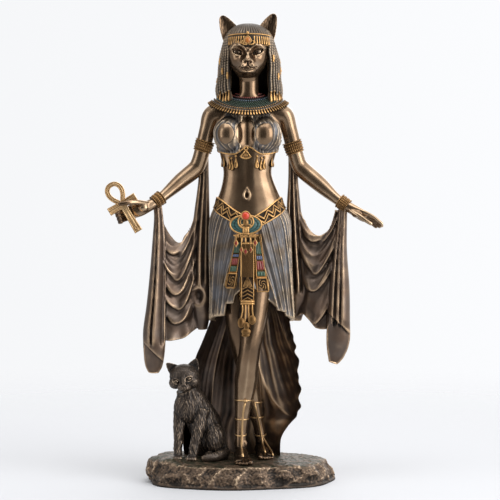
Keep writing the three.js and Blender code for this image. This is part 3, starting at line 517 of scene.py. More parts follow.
# The breastbone, shoulder caps and the pads of both palms.
flesh += [ball(centre, radii) for centre, radii in (
    ((4.9, -2.6, 195), (7.5, 5.8, 12)), ((-12.6, 1.4, 203.6), (6.2, 5.6, 5.2)),
    ((22.8, 1.4, 203.6), (6.2, 5.6, 5.2)), ((-52.6, -10.4, 152.6), (3, 2.4, 2.6)),
    ((65, -9.4, 149), (3, 2.4, 2.2)),
)]
trunk = column("trunk", trunk_rows, sides=120, steps=130)
body = fuse("body", [trunk] + arms + fingers + flesh, voxel=0.32, rounds=14)

# The trunk and arms are smoothed once more, and the fingers keep their shape.
away_from_hands = body.vertex_groups.new(name="away from the hands")
for index, x in enumerate(places(body)[:, 0]):
    away_from_hands.add([index], float(smooth(57, 52, abs(x - TRUNK_X))), "REPLACE")
modify(body, "SMOOTH", factor=0.5, iterations=24, vertex_group="away from the hands")


def body_relief(points, normals):
    """The hollow lines down the belly and the breastbone, and the navel with its rim."""
    x, y, z = points.T
    to_front = smooth(0.2, 0.7, -normals[:, 1])
    trunk_line = -0.4 * bell(x, 4.7, 2.2) * smooth(161, 168, z) * smooth(190, 182, z)
    breastbone = -1.9 * bell(x, 4.3, 3.0) * smooth(184, 188, z) * smooth(208, 202, z)
    # The navel is a drop, wide below and narrow above.
    narrow = 1 - 0.16 * np.clip(z - 159.6, 0, 4)
    navel = -1.7 * np.exp(-((x - 4.4) / (0.8 * narrow)) ** 2 - ((z - 159.6) / 1.5) ** 2)
    navel_rim = 0.34 * bell(np.hypot((x - 4.4) / (1.7 * narrow), (z - 160) / 3.0), 1, 0.28)
    on_waist = np.abs(x - TRUNK_X) < 16
    return to_front * (trunk_line + breastbone + navel + navel_rim) * on_waist


press(body, body_relief)
# The ankh hand's fingers, beyond x = -57 mm, are darkened with painted shade round their grip on the ankh.
wear_and_shade(body, near=0.3, far=0.8, rounds=(8, 60), start=0.57,
     reach=lambda points, normals: 1 - 0.6 * smooth(-57, -62, points[:, 0]))
dress(body, skin_finish, keep=0.21)


# Legs and feet: the left one steps across in front and carries the light, the right one stands behind it.
# They are part of the casting, bare but for cord sandals, with five toes on each foot.
SOLE_LEVEL = 12.5
front_leg = [
    [11, -2, 124, 9, 9], [9.6, -7, 106, 8.6, 8.8], [7.8, -10.4, 88, 7.1, 7.2], [6.3, -11.4, 77, 6.0, 6.5],
    [5, -9.8, 67, 6.0, 6.4], [4, -6.8, 57, 6.5, 7.0], [2.6, -5.6, 45, 5, 5.5], [1.4, -5.8, 34, 3.6, 4],
    [0.9, -6.4, 25, 3.0, 3.4], [0.9, -6.8, 13, 3.3, 3.9],
]
back_leg = [
    [-1.4, -1, 106, 8, 8], [-0.6, -1.4, 88, 6.6, 6.6], [1.6, 0.6, 74, 5.8, 6], [5, 6, 60, 5.8, 6],
    [7.8, 9, 46, 4.8, 5], [10, 11, 34, 3.6, 3.8], [12, 12, 24, 3.1, 3.4], [12.6, 12, 13, 3.2, 3.7],
]


def foot(ankle, toes, big_side):
    """A foot from the heel to the roots of the toes, and its toes, the big one on big_side (1 is +X)."""
    ankle, toes = np.array([*ankle, 0.0]), np.array([*toes, 0.0])
    ahead = (toes - ankle) / np.linalg.norm(toes - ankle)
    side = np.array([-ahead[1], ahead[0], 0]) * -big_side
    side *= np.sign(side[0]) * big_side
    rows = []
    for share, lift, wide, deep in ((-0.34, 2.0, 1.4, 1.4), (-0.22, 3.2, 3.4, 3.2), (0.08, 4.2, 3.7, 4.2),
                                    (0.4, 3.2, 4.1, 3.2), (0.66, 2.0, 4.8, 2.0), (0.8, 1.6, 4.6, 1.5)):
        at = ankle + (toes - ankle) * share
        rows.append([at[0], at[1], SOLE_LEVEL - 0.6 + lift, wide, deep])
    parts = [limb("foot", rows, sides=40, steps=30, across=np.abs(side))]
    for place, length, thick in ((3.6, 1.0, 1.45), (1.55, 1.02, 1.0), (-0.1, 0.98, 0.95),
                                 (-1.7, 0.93, 0.9), (-3.2, 0.87, 0.85)):
        root = ankle + (toes - ankle) * (length - 0.27) + side * place * 0.95
        tip = ankle + (toes - ankle) * (length - 0.03) + side * place * 1.05
        level = SOLE_LEVEL - 0.4 + thick
        toe = [[*root[:2], level + 0.9, thick], [*((root + tip) / 2)[:2], level + 0.75, thick],
               [*tip[:2], level - 0.1, thick * 1.05]]
        parts.append(limb("toe", toe, sides=14, steps=10))
        parts.append(ball((*tip[:2], level - 0.1), (thick * 1.08, thick * 1.15, thick), 14, 10))
    return parts


def round_section(turn, share):
    return np.cos(turn) + 0 * share, np.sin(turn) + 0 * share


def shin_planes(turn, share):
    """The front leg is round at the thigh and has two flat planes that meet at the shin below the knee."""
    a, b = round_section(turn, share)
    edged = (1 - 0.38 * np.abs(a) - 0.62 * a ** 4) ** 0.75
    return a, np.where(b > 0, b + (edged - b) * smooth(0.22, 0.4, share) * smooth(0.95, 0.8, share), b)


shins = [limb("front leg", front_leg, sides=64, steps=110, section=shin_planes),
         limb("back leg", back_leg, sides=56, steps=90)]
# The kneecap, the calf and both ankle bones.
shins += [ball(centre, radii) for centre, radii in (
    ((6.4, -15.2, 78.4), (4.2, 2.6, 5.2)), ((2.2, -0.8, 58), (4.4, 4.6, 13)),
    ((3.4, -7.8, 21.6), (1.2, 1.5, 2.2)), ((-1.6, -6, 21.6), (1.1, 1.5, 2.2)),
)]
front_foot = foot(ankle=(0.9, -7), toes=(2.6, -24.4), big_side=1)
back_foot = foot(ankle=(12.6, 11.6), toes=(15.6, -4.4), big_side=-1)
legs = fuse("legs", shins + front_foot + back_foot, voxel=0.36, rounds=4)


def toe_lines(points, normals):
    """The fine skin lines across the tops of the toes, at their joints and round the nails."""
    below_ankle = points[:, 2] < 17
    return -0.08 * smooth(0.3, 0.8, normals[:, 2]) * below_ankle * (np.sin(points[:, 1] * 3.4) > 0.86)


def legs_rub_and_hem_shade(points, normals):
    """The shins come out brightest and the feet darker; the thighs are darkened with painted shade under the
    skirt's hem.
    """
    return 0.3 + 0.7 * smooth(13, 40, points[:, 2]) - 0.4 * smooth(64, 76, points[:, 2])


press(legs, toe_lines)
wear_and_shade(legs, near=0.2, far=0.8, rounds=(8, 60), start=0.55, reach=legs_rub_and_hem_shade)
dress(legs, skin_finish, keep=0.28)

# Sandal cords: round cords tied about the shins and down to the toes, moulded on and left bright bronze.
cord_finish = bronze("rubbed bronze sandal cord", "#1e160e", "#684e34", "#b8976c",
                     metal=0.85, gloss=0.34, grit=0.05)
CORD_RADIUS = 0.52


def tube(name, path, thick, sides=10, steps=None):
    """A round cord along points, in millimetres."""
    rows = [[*p, thick] for p in path]
    return roll(name, limb_points(rows, sides, steps or len(path) * 6, across=(0.31, 0.2, 0.93)))


def hoop_of(name, ring, outward, thick):
    """A round closed cord along a ring of points, each with its way outward."""
    ring = np.asarray(ring, float)
    along = unit(np.roll(ring, -1, axis=0) - np.roll(ring, 1, axis=0))
    outward = unit(outward - along * (outward * along).sum(axis=1)[:, None])
    across = np.cross(along, outward)
    rounds = [ring + thick * (np.cos(a) * outward + np.sin(a) * across) for a in whole_turn(8)]
    return closed_ring(name, np.stack(rounds, axis=1))


def closed_ring(name, points):
    """Sections in rows that follow each other round a loop, closed both ways."""
    points = np.concatenate([points, points[:1]])
    piece = roll(name, np.concatenate([points, points[:, :1]], axis=1), closed=False)
    close_seams(piece)
    return piece


def round_leg(rows, level, rise, section):
    """A cord tied round a leg at a height. It follows the leg's section and rises to the front."""
    rows = spread(rows, 200)
    row = rows[np.argmin(np.abs(rows[:, 2] - level))]
    a, b = section(whole_turn(48), 0.6)
    outward = np.stack([a, -b, 0 * a], axis=1)
    ring = [row[0] + (row[3] - 0.15) * a, row[1] - (row[4] - 0.05) * b, level + rise * b]
    return hoop_of("shin cord", np.stack(ring, axis=1), outward, CORD_RADIUS)


cords = []
for leg, section, ties in ((front_leg, shin_planes, ((45.6, 0.4), (35.2, 0), (26.6, -0.6))),
                           (back_leg, round_section, ((42.4, 0.4), (34, 0), (24, -0.6)))):
    cords += [round_leg(leg, level, rise, section) for level, rise in ties]
for path, thick in (
        ([(3.6, -11.6, 45.6), (2.4, -10.9, 40), (1.9, -10.2, 34), (1.6, -10, 28), (1.4, -10.8, 21.6),
          (1.8, -14.4, 18.4), (2.2, -18.6, 15.9)], 0.62),
        ([(8.6, 4, 43), (10.6, 6.6, 34), (12.4, 7.8, 25), (13.2, 6.4, 19.6), (14, 2.4, 17),
          (14.6, -0.6, 15.4)], 0.6),
        ([(12.6, 8.2, 24), (15.6, 6, 19.4), (18, 1.6, 16), (19, -2.4, 14)], 0.5)):
    cords.append(tube("instep cord", path, thick))
# The knot at the top of the front shin.
cords.append(ball((3.6, -12, 45.8), (1.3, 0.9, 1.1), segments=16, rings=12))
sandals = join("sandal_cords", cords)
wear_and_shade(sandals, near=0.1, far=0.4, rounds=(3, 12), start=0.4)
dress(sandals, cord_finish)


# Head: a cat's head on a woman's neck. Skull and neck are plain forms, and the face is one modelled front
# with its cheek planes, brow ridges, bridge and muzzle. Eyes, nostrils and mouth are cut with small tools,
# and the whole is burnished as the body is.
HEAD_X = 4.9
skull = [
    [220, 5.3, -2.4, 4.3, 4.2, 5.0], [222, 5.3, -2.8, 4.9, 4.8, 5.6], [224.4, 5, -3.0, 5.6, 5.6, 7],
    [228, 5.1, -2, 7.4, 6.2, 9],
    [233, 5.2, -2, 9.4, 7, 11], [240, 5.4, -1.6, 10.6, 8, 12], [246, 5.5, 0, 11.0, 11.6, 12],
    [251, 5.5, 1, 6, 6, 6], [252.5, 5.5, 1, 2, 2, 2],
]
# The face's half width and the reach of its plain front at each height.
FACE_LEVELS = [223.4, 225, 228, 231, 235, 240, 243, 247]
FACE_HALF = [3.7, 5.9, 8.2, 10.1, 11.2, 11.5, 11.0, 10.0]
FACE_REACH = [6.5, 9.2, 10.2, 10.2, 10.6, 11.3, 11.1, 9.9]
EYES = [(-1.0, 237.9), (10.5, 238.0)]


def near_line(across, height, path, width):
    """How close points are to a line: 1 on it, falling off over the width."""
    best = 99.0
    for (x0, z0), (x1, z1) in zip(path, path[1:]):
        dx, dz = x1 - x0, z1 - z0
        share = np.clip(((across - x0) * dx + (height - z0) * dz) / (dx ** 2 + dz ** 2), 0, 1)
        best = np.minimum(best, np.hypot(across - x0 - share * dx, height - z0 - share * dz))
    return np.exp(-(best / width) ** 2)


def mound(across, height, x, z, wide, high):
    """1 at x and z, falling off over a width and a height."""
    return np.exp(-((across - x) / wide) ** 2 - ((height - z) / high) ** 2)


z = np.linspace(FACE_LEVELS[0], FACE_LEVELS[-1], 120)[:, None]
half = np.interp(z, FACE_LEVELS, FACE_HALF)
u = half * np.linspace(-1, 1, 150)[None, :]
off = np.abs(u)
face = np.interp(z, FACE_LEVELS, FACE_REACH) * (1 - 0.26 * off / half - 0.74 * (off / half) ** 5) ** 0.6
# The muzzle, its pads and chin, the cheeks, and the straight bridge of the nose with its wings.
face += (4.6 * smooth(1.25, 0.3, np.hypot(off / 7.4, (z - 229.8) / 5.6))
         + 2.3 * mound(off, z, 3.4, 230.2, 2.7, 2.2))
face += 1.9 * mound(u, z, 0, 226.4, 3.6, 1.1) + 0.5 * mound(off, z, 7.0, 233.8, 3.0, 3.4)
face += 2.5 * bell(u, 0, 1.35) * smooth(240, 236.5, z) * smooth(231.6, 233.2, z)
face += 1.3 * mound(off, z, 0.9, 233.6, 1.5, 1.3) - 1.0 * mound(u, z, 0, 242, 1.5, 1.8)
# The eye sockets, the brow ridge over each and its outer end.
face -= 2.1 * mound(off, z, 5.5, 238.4, 3.2, 1.7) + 1.5 * mound(off, z, 2.7, 236.6, 1.1, 2.4)
face += 1.1 * near_line(off, z, [(0.4, 236.4), (1.5, 239.0), (2.9, 240.8), (5.0, 241.7)], 0.9)
face += 0.6 * near_line(off, z, [(5.0, 241.7), (7.4, 241.6), (9.4, 240.2)], 1.2)
front_face = np.stack([HEAD_X + u, -1 - face, z + 0 * u], axis=-1)
back_face = np.stack([HEAD_X + 0.96 * u, 1.5 + 0 * u, z + 0 * u], axis=-1)[:, ::-1]
neck_rows = [[*row[:3], *(size + 0.35 for size in row[3:])] for row in trunk_rows[11:]]
head_forms = [column("skull", skull, sides=80, steps=60), column("neck", neck_rows, sides=60, steps=30),
              roll("face", np.concatenate([front_face, back_face], axis=1))]
head = fuse("cat_head", head_forms, voxel=0.23, rounds=3)


def cut_face(points, normals):
    """Eye openings with their lids, the nose leather, nostrils, the split lip and the mouth."""
    x, y, z = points.T
    front = smooth(0.1, 0.5, -normals[:, 1])
    off, depth = np.abs(x - HEAD_X), np.zeros(len(x))
    for side, (eye_x, eye_z) in zip((-1, 1), EYES):
        across = side * (x - eye_x)
        slanted = z - eye_z - 0.32 * across
        almond = np.hypot(across / 2.95, slanted / (1.5 - 0.06 * across))
        depth += -(0.9 + 0.5 * smooth(0, -2, across)) * smooth(1.0, 0.8, almond)
        depth += 0.12 * bell(almond, 1.25, 0.2) * (slanted > 0)
    # The nose: two fine edges spread from the bridge, with the leather and its openings between them.
    depth += 0.5 * near_line(off, z, [(0.1, 235.5), (2.3, 232.9), (2.7, 232.2)], 0.4)
    depth -= 0.75 * mound(off, z, 0, 233.9, 0.65, 0.5) + 0.9 * mound(off, z, 1.45, 232.1, 0.75, 0.42)
    lip = [(0, 231.8), (0, 230.2), (1.5, 228.7), (3.3, 228.4), (4.9, 229.4)]
    depth -= 0.55 * near_line(off, z, lip, 0.38)
    depth -= 0.45 * near_line(off, z, [(0, 227.6), (2.2, 227.4), (4.0, 228.2)], 0.4)
    return depth * front * (y < -4)


press(head, cut_face)
modify(head, "SMOOTH", factor=0.4, iterations=1)
wear_and_shade(head, near=0.22, far=0.7, rounds=(6, 60), start=0.52)
dress(head, skin_finish, keep=0.5)

# Eyes: polished balls set deep behind the lids, with the round pupil and the iris cut in.
eye_finish = bronze("polished dark bronze eye", "#120e0b", "#5b4e42", "#b09c86",
                    metal=0.9, gloss=0.16, grit=0.02)
eyeballs = []
for side, (eye_x, eye_z) in zip((-1, 1), EYES):
    eyeballs.append(ball((eye_x - 0.2 * side, -5.5, eye_z), (3.1, 3.1, 3.1), segments=48, rings=32))
eyes = join("eyes", eyeballs)


def pupils(points, normals):
    """A small pit for each pupil, and a ring cut round it."""
    x, y, z = points.T
    cut = np.zeros(len(x))
    for side, (eye_x, eye_z) in zip((-1, 1), EYES):
        iris = np.hypot(x - eye_x + 0.1 * side, z - eye_z)
        cut += -0.2 * smooth(0.55, 0.25, iris) - 0.12 * bell(iris, 1.0, 0.16)
    return cut * (normals[:, 1] < 0)


press(eyes, pupils)
wear_and_shade(eyes, near=0.05, far=0.3, rounds=(3, 12), start=0.4)
dress(eyes, eye_finish, keep=1)


# Ears: upright cat's ears set in the wig, thin walled and hollowed from the front.
def ear(name, root, tip, profile, wall, sides, steps):
    """An ear from its root to its tip. profile has rows of share, half width and half depth, and wall is how
    thick its hollowed front is left, as a share of the depth."""
    root, tip = np.array(root), np.array(tip)
    rows = [[*(root + (tip - root) * share), wide, deep] for share, wide, deep in profile]

    def hollowed(turn, share):
        behind, front = np.sin(turn), wall * np.sin(turn) ** 2
        return np.cos(turn) + 0 * share, np.where(behind > 0, behind, front) + 0 * share
    return limb(name, rows, sides, steps, (tip[2] - root[2], 0, root[0] - tip[0]), hollowed)


ear_profile = [(share, 4.9 * wide, 3.0 * deep) for share, wide, deep in (
    (-0.5, 1.2, 1.2), (-0.1, 1.12, 1.1), (0.25, 0.95, 1.0), (0.6, 0.7, 0.8), (0.85, 0.44, 0.55),
    (0.95, 0.27, 0.35), (0.99, 0.1, 0.15))]
ears = join("ears", [ear("ear", root, tip, ear_profile, wall=0.42, sides=48, steps=40) for root, tip in (
    ((-4.9, 0.6, 249.4), (-9.9, 0.9, 258.7)), ((15.3, 0.6, 249.8), (19.8, 0.9, 259.85)))])
modify(ears, "REMESH", mode="VOXEL", voxel_size=0.25 * MM)
modify(ears, "SMOOTH", factor=0.5, iterations=4)
# Fine hair strokes run up the ears.
press(ears, lambda points, normals: 0.12 * grain(points, (0.5, 0.5, 2.2)))
wear_and_shade(ears, start=0.42)
dress(ears, skin_finish)


# Wig: a crown of combed strands and, all round from the headband's ends, thirty-six plaits that hang down
# the back and over both shoulders. Cast with the head, washed with grey paint, rubbed on the ridges.
hair_finish = bronze("grey-washed bronze hair", "#120f0b", "#41372d", "#a48f76",
                     metal=0.65, gloss=0.36, grit=0.06, wash=("#625c56", 0.4))
STRANDS, PLAITS, PLAIT_RADIUS = 48, 36, 1.14
WIG_AXIS = (5.5, 1.5)
crown_rows = [
    [240, 5.6, 1.5, 13.4, 11.2, 13.4], [244, 5.6, 1.5, 13.2, 12.6, 13.6],
    [247.5, 5.5, 1.5, 12.6, 12.9, 13.1], [250.3, 5.4, 1.5, 10.8, 11.2, 11.6],
    [252.2, 5.3, 1.5, 8.5, 8.9, 9.2], [253.4, 5.3, 1.5, 6, 6.3, 6.5],
    [254.1, 5.3, 1.5, 3.4, 3.5, 3.6], [254.3, 5.3, 1.5, 0.8, 0.8, 0.8],
]
hair_rows = [
    [206, 5.6, 2, 18.2, 17.2, 13.6], [210, 5.6, 2, 18.4, 15.4, 13.8], [213.1, 5.9, 2, 18.5, 13, 14],
    [217.5, 5.6, 2, 19, 11, 14.4], [223, 5.7, 1.7, 18, 10.4, 14.2], [232.4, 5.8, 1.5, 17.4, 11, 14.2],
    [239.6, 5.5, 1.5, 15.7, 12.4, 14], [246.2, 5.4, 1.5, 13.6, 13.3, 13.7],
    [250, 5.4, 1.5, 11.4, 12.4, 12.4],
]


def open_edge(height, at_left):
    """How far forward of the sides the hair comes: least at the headband, and more beside the face."""
    low = 59 if at_left else 51
    return np.radians(np.interp(height, [206, 225, 238, 243, 246], [low, 46.5, 43.5, 33, 29]))


def hair_turn(share, height):
    """The turn of a plait at a height. Its share runs from -1 at the viewer's right over the back to 1."""
    return math.pi / 2 + share * (math.pi / 2 + open_edge(height, share > 0))


def comb(turn, share):
    """Strands that run down from the crown, each a little wavy."""
    ridge = np.abs(np.cos(turn * STRANDS / 2 + 0.5 * np.sin(9 * share + 3 * turn)))
    return 1 + 0.06 * (ridge ** 0.7 - 0.7)


def round_form(rows, turn, height, inset=0.0):
    """Points at these turns and heights on an upright form of rows, sunk under its skin by inset."""
    rows = spread(sorted(rows), 200)
    cx, cy, half, front, back = (np.interp(height, rows[:, 0], rows[:, i]) for i in range(1, 6))
    deep = np.where(np.sin(turn) > 0, back, front)
    x = cx + (half - inset) * np.cos(turn)
    return np.stack([x, cy + (deep - inset) * np.sin(turn), height + 0 * x], axis=-1)


def outer(centre, tilt=0.0, low=0.1, high=0.95):
    """The wear on small forms packed round an upright axis, with painted shade: their outer faces stay
    bright, and the faces turned to the gaps between them are darkened, as dark wash and painted shade.
    """
    def reach(points, normals):
        away = points[:, :2] - centre
        away /= np.maximum(np.linalg.norm(away, axis=1), 0.01)[:, None]
        out = (away * normals[:, :2]).sum(axis=1) * math.cos(tilt) + normals[:, 2] * math.sin(tilt)
        return smooth(low, high, out)
    return reach


# Under the plaits lies a plain wall of hair, 3 mm thick.
levels = np.linspace(212, 248, 40)[:, None]
wall_turns = np.concatenate([hair_turn(share, levels) for share in np.linspace(-0.95, 0.95, 120)], axis=1)
hair_wall = np.concatenate([round_form(hair_rows, wall_turns, levels, inset=1.9),
                            round_form(hair_rows, wall_turns[:, ::-1], levels, inset=5)], axis=1)
wig = join("wig", [column("crown", crown_rows, sides=480, steps=64, warp=comb), roll("hair", hair_wall)])
wear_and_shade(wig, near=0.08, far=0.3, rounds=(4, 12), start=0.42)
dress(wig, hair_finish, keep=0.38)


def wrapped(angle):
    """An angle brought between half a turn back and half a turn on."""
    return (angle + math.pi) % (2 * math.pi) - math.pi


def woven(turn, share):
    """A plait of three strands: the crossing locks show as a herringbone on the outer side."""
    bend = np.abs(wrapped(turn)) / math.pi
    lock = np.abs(np.sin(math.pi * (share * 24 + 0.9 * bend))) ** 0.6
    size = 0.68 + 0.32 * lock
    return size * np.cos(turn), size * np.sin(turn)


def plait_spot(share, height):
    """A point on a plait's middle line, and the way out from the head there."""
    turn = hair_turn(share, height)
    return round_form(hair_rows, turn, height, PLAIT_RADIUS), np.array([math.cos(turn), math.sin(turn), 0])


plait_shares = np.linspace(-1, 1, PLAITS)
# The plaits are cut unevenly, and a little higher beside the face.
ends = 214.2 + 0.9 * np.sin(2.4 * np.arange(PLAITS)) + 1.6 * smooth(0.6, 1, np.abs(plait_shares))
plaits = []
for share, end in zip(plait_shares, ends):
    rows = [[*plait_spot(share, height)[0], PLAIT_RADIUS] for height in np.linspace(249.8, end, 10)]
    plaits.append(limb("plait", rows, sides=10, steps=116, across=plait_spot(share, 230)[1], section=woven))
plaits = join("plaits", plaits)
# Painted shade, with the dark wash, in the gaps between the plaits: only their outer faces are rubbed
# bright.
wear_and_shade(plaits, near=0.08, far=0.3, rounds=(2, 8), start=0.36, reach=outer(WIG_AXIS, low=0.4))
dress(plaits, hair_finish, keep=0.5)

# Gold clasps at different heights on the plaits and a long gold drop at the end of each, moulded on and
# painted.
gold_finish = bronze("antique gold paint", "#171008", "#5f4425", "#c29760",
                     metal=0.8, gloss=0.32, grit=0.05)
UP = (0, 0, 1)


def strew(name, model, spots):
    """A small piece copied to many spots: each is a place, the way out, the way up and a size."""
    made = []
    for place, out, up, size in spots:
        inward = -Vector(out).normalized()
        right = inward.cross(Vector(up)).normalized()
        above = right.cross(inward)
        each = np.broadcast_to(size, 3)
        turned = Matrix([right * each[0], inward * each[1], above * each[2]]).transposed().to_4x4()
        turned.translation = Vector(place) * MM
        copied = model.copy()
        copied.data = model.data.copy()
        scene.collection.objects.link(copied)
        copied.matrix_world = turned
        made.append(copied)
    bpy.data.objects.remove(model)
    return join(name, made)


# Both are turned forms: rows down the middle line, with the half width.
clasp_rows = [[0, 0, -2.1, 0.5], [0, 0, -1.7, 1.1], [0, 0, -1.1, 0.95], [0, 0, 0, 1.34], [0, 0, 1.1, 0.95],
              [0, 0, 1.7, 1.1], [0, 0, 2.1, 0.5]]
drop_rows = [[0, 0, 1.0, 0.4], [0, 0, 0.6, 1.0], [0, 0, -0.1, 0.62], [0, 0, -1.4, 0.72], [0, 0, -3.0, 1.12],
             [0, 0, -4.4, 1.18], [0, 0, -5.3, 0.8], [0, 0, -5.6, 0.2]]
clasp_spots, drop_spots = [], []
for k, (share, end) in enumerate(zip(plait_shares, ends)):
    if k % 2:
        place, out = plait_spot(share, 228.5 + 6.5 * math.sin(1.9 * k))
        clasp_spots.append((place + 0.2 * out, out, UP, 1))
    place, out = plait_spot(share, end - 0.2)
    drop_spots.append((place, out, UP, 1))
clasps = strew("plait_clasps", limb("clasp", clasp_rows, sides=12, steps=18), clasp_spots)
drops = strew("plait_drops", limb("drop", drop_rows, sides=12, steps=22), drop_spots)
for golden in (clasps, drops):
    # Painted shade, with the dark wash, on the faces of the clasps and drops that turn in to the plaits.
    wear_and_shade(golden, near=0.05, far=0.2, rounds=(2, 6), start=0.5, reach=outer(WIG_AXIS))
    dress(golden, gold_finish)


# Headband: a dark band across the forehead, whose ends go in under the plaits, with a line of gold beads at
# its top, a row of hanging gold drops and an orange stone in the middle. Relief of the casting, painted
# antique gold.
BAND_LOW, BAND_MIDDLE, BAND_HIGH, BAND_DROPS = 241.8, 244.2, 247.6, 54
HEADSTONE = np.array([4.8, -12.9, 244.3])
band_rows = [
    [240.6, 5.6, 0.9, 12.2, 12.6, 13.0], [241.8, 5.6, 0.9, 12.6, 13.3, 13.2],
    [244, 5.55, 0.9, 12.5, 13.4, 13.1], [247.4, 5.5, 0.9, 12.1, 13.2, 12.9],
    [248.4, 5.5, 0.9, 11.2, 12.4, 12.2],
]
headband = column("headband", band_rows, sides=160, steps=24)
wear_and_shade(headband, near=0.1, far=0.3, rounds=(2, 8), start=0.2)
dress(headband, hair_finish)


def bead_model(radii):
    return join("bead", [ball((0, 0, 0), radii, segments=10, rings=8)])


def band_turn(step):
    """The turn of the drop that is this number of drops from the middle."""
    return step / BAND_DROPS * 2 * math.pi - math.pi / 2


def band_spot(step, height, tilt, off, size):
    turn = band_turn(step)
    out = np.array([math.cos(turn), math.sin(turn), tilt])
    return round_form(band_rows, turn, height) + out * off, out, UP, size


band_drops, band_beads = [], []
for step in np.arange(-20, 21):
    # The band runs a little lower at the sides.
    sink = 0.8 * (1 + math.sin(band_turn(step)))
    if abs(step) > 1:
        band_drops.append(band_spot(step, BAND_MIDDLE - sink, tilt=0.12, off=0.1, size=1))
    for half_step in (-0.5, 0):
        band_beads.append(band_spot(step + half_step, BAND_HIGH - sink, tilt=0.15, off=0.1, size=0.9))
        band_beads.append(band_spot(step + half_step, BAND_LOW - sink, tilt=0.15, off=0.05, size=0.6))
band_drop = limb("band drop", [[0, 0, 2.3, 0.25], [0, 0, 2.0, 0.52], [0, 0, 0.2, 0.4], [0, 0, -1.5, 0.56],
                               [0, 0, -2.0, 0.5], [0, 0, -2.2, 0.2]], sides=10, steps=14)
band_gold = [strew("band drops", band_drop, band_drops),
             strew("band beads", bead_model((0.55, 0.5, 0.5)), band_beads)]
spin = whole_turn(40)
rim_x = 1.75 * np.sin(spin) * (1 - 0.22 * np.cos(spin))
rim_offset = np.stack([rim_x, 0 * spin, 2.0 * np.cos(spin)], axis=1)
band_gold.append(hoop_of("stone rim", HEADSTONE + rim_offset, rim_offset, thick=0.36))
band_gold.append(ball((4.8, -12.9, 248.0), (0.9, 0.8, 1.1), segments=16, rings=12))
for side in (-1, 1):
    curl = [(HEAD_X + side * 0.5, -13.1, 241.9), (HEAD_X + side * 2.2, -12.9, 241.8),
            (HEAD_X + side * 3.4, -12.6, 242.8), (HEAD_X + side * 2.7, -12.8, 244)]
    band_gold.append(tube("curl", curl, thick=0.34, sides=8))
band_gold = join("headband_gold", band_gold)
# Painted shade, with the dark wash, on the faces of the gold beads and drops that turn in to the band.
wear_and_shade(band_gold, near=0.05, far=0.2, rounds=(2, 6), start=0.55, reach=outer((5.5, 0.9)))
dress(band_gold, gold_finish)


def enamel(name, colour, shade, gloss=0.32):
    """Hobby paint over the casting: even colour, with the dark wash left in the hollows, and painted shade
    where a piece's wear is scaled down, as in the gaps between packed beads.
    """
    material, tree, shader = blank_material(name)
    rub_and_shade = add(tree, "ShaderNodeAttribute", attribute_name="rub_and_shade").outputs["Fac"]
    mixed = blend(tree, ramp(tree, rub_and_shade, 0.2, 0.6, curve="LINEAR"), linear(shade), linear(colour))
    tree.links.new(mixed, shader.inputs["Base Color"])
    shader.inputs["Roughness"].default_value = gloss
    return material


# The stone is painted a deep amber orange with a glossy top coat.
amber_paint = enamel("amber orange gloss enamel", "#9c6026", "#4a2810", gloss=0.2)
stone = join("headband_stone", [ball((4.8, -12.8, 244.2), (1.5, 0.9, 1.75), segments=24, rings=16)])
wear_and_shade(stone, near=0.05, far=0.2, rounds=(2, 6), start=0.55)
dress(stone, amber_paint, keep=1)


# Collar: the broad bead collar over the shoulders, one moulded plate with rows of beads in red, pale blue
# and dark green, and a fringe of gold tubes with a bead at each tip. Painted by hand on the casting.
NECK_RADIUS, COLLAR_WIDTH, NECK_LEVEL = 6, 16.4, 214
COLLAR_AXIS = (5.2, 0)


def collar_point(turn, share, above):
    """A point on the collar: share 0 is at the neck and 1 at the rim, above is its height off the plate."""
    fall = 2.4 + 7.0 * np.abs(np.sin(turn)) ** 1.4
    rim = np.where(np.sin(turn) > 0, 14.6, 14.0)
    x = 5.2 + (NECK_RADIUS + COLLAR_WIDTH * share) * np.cos(turn)
    y = 0.5 * (1 - share) + (5.4 + (rim - 5.4) * share) * np.sin(turn)
    rolled_off = 2.2 * smooth(0.72, 1.1, share)
    z = NECK_LEVEL - fall * np.clip(share, 0, None) ** 0.8 - rolled_off + above + 0 * x
    return np.stack([x, y, z], axis=-1)


# Across the plate: up from the hidden lower edge at the rim, over the top to the raised edge at the neck.
profile = spread([[0.02, -2.2], [0.4, -1.9], [0.8, -1.3], [0.89, -0.7], [0.88, -0.1], [0.7, 0.6], [0.3, 0.5],
                  [0.16, 1.0], [0.02, 1.1]], 30)
plate = np.array([collar_point(whole_turn(240), share, above) for share, above in profile])
collar = roll("collar_plate", plate)
wear_and_shade(collar, near=0.05, far=0.3, rounds=(2, 8), start=0.15)
dress(collar, hair_finish, keep=0.4)


def collar_row(share, count, above, size):
    """Spots spaced evenly along one row of the collar, each turned to face out and up."""
    close = np.linspace(0, 2 * math.pi, 400)
    steps = np.linalg.norm(np.diff(collar_point(close, share, above), axis=0), axis=1)
    walked = np.concatenate([[0], np.cumsum(steps)])
    spots = []
    for turn in np.interp((np.arange(count) + 0.5) / count * walked[-1], walked, close):
        place = collar_point(turn, share, above)
        outward = collar_point(turn, share + 0.05, above) - collar_point(turn, share - 0.05, above)
        along = collar_point(turn + 0.02, share, above) - collar_point(turn - 0.02, share, above)
        out = np.cross(along, outward)
        out *= np.sign(out[2])
        spots.append((place, out, -outward, size))
    return spots


red_paint = enamel("carnelian red enamel", "#74281f", "#220b07")
sky_paint = enamel("pale blue enamel", "#5f7482", "#171f25")
green_paint = enamel("malachite green enamel", "#2a4532", "#0d1611")
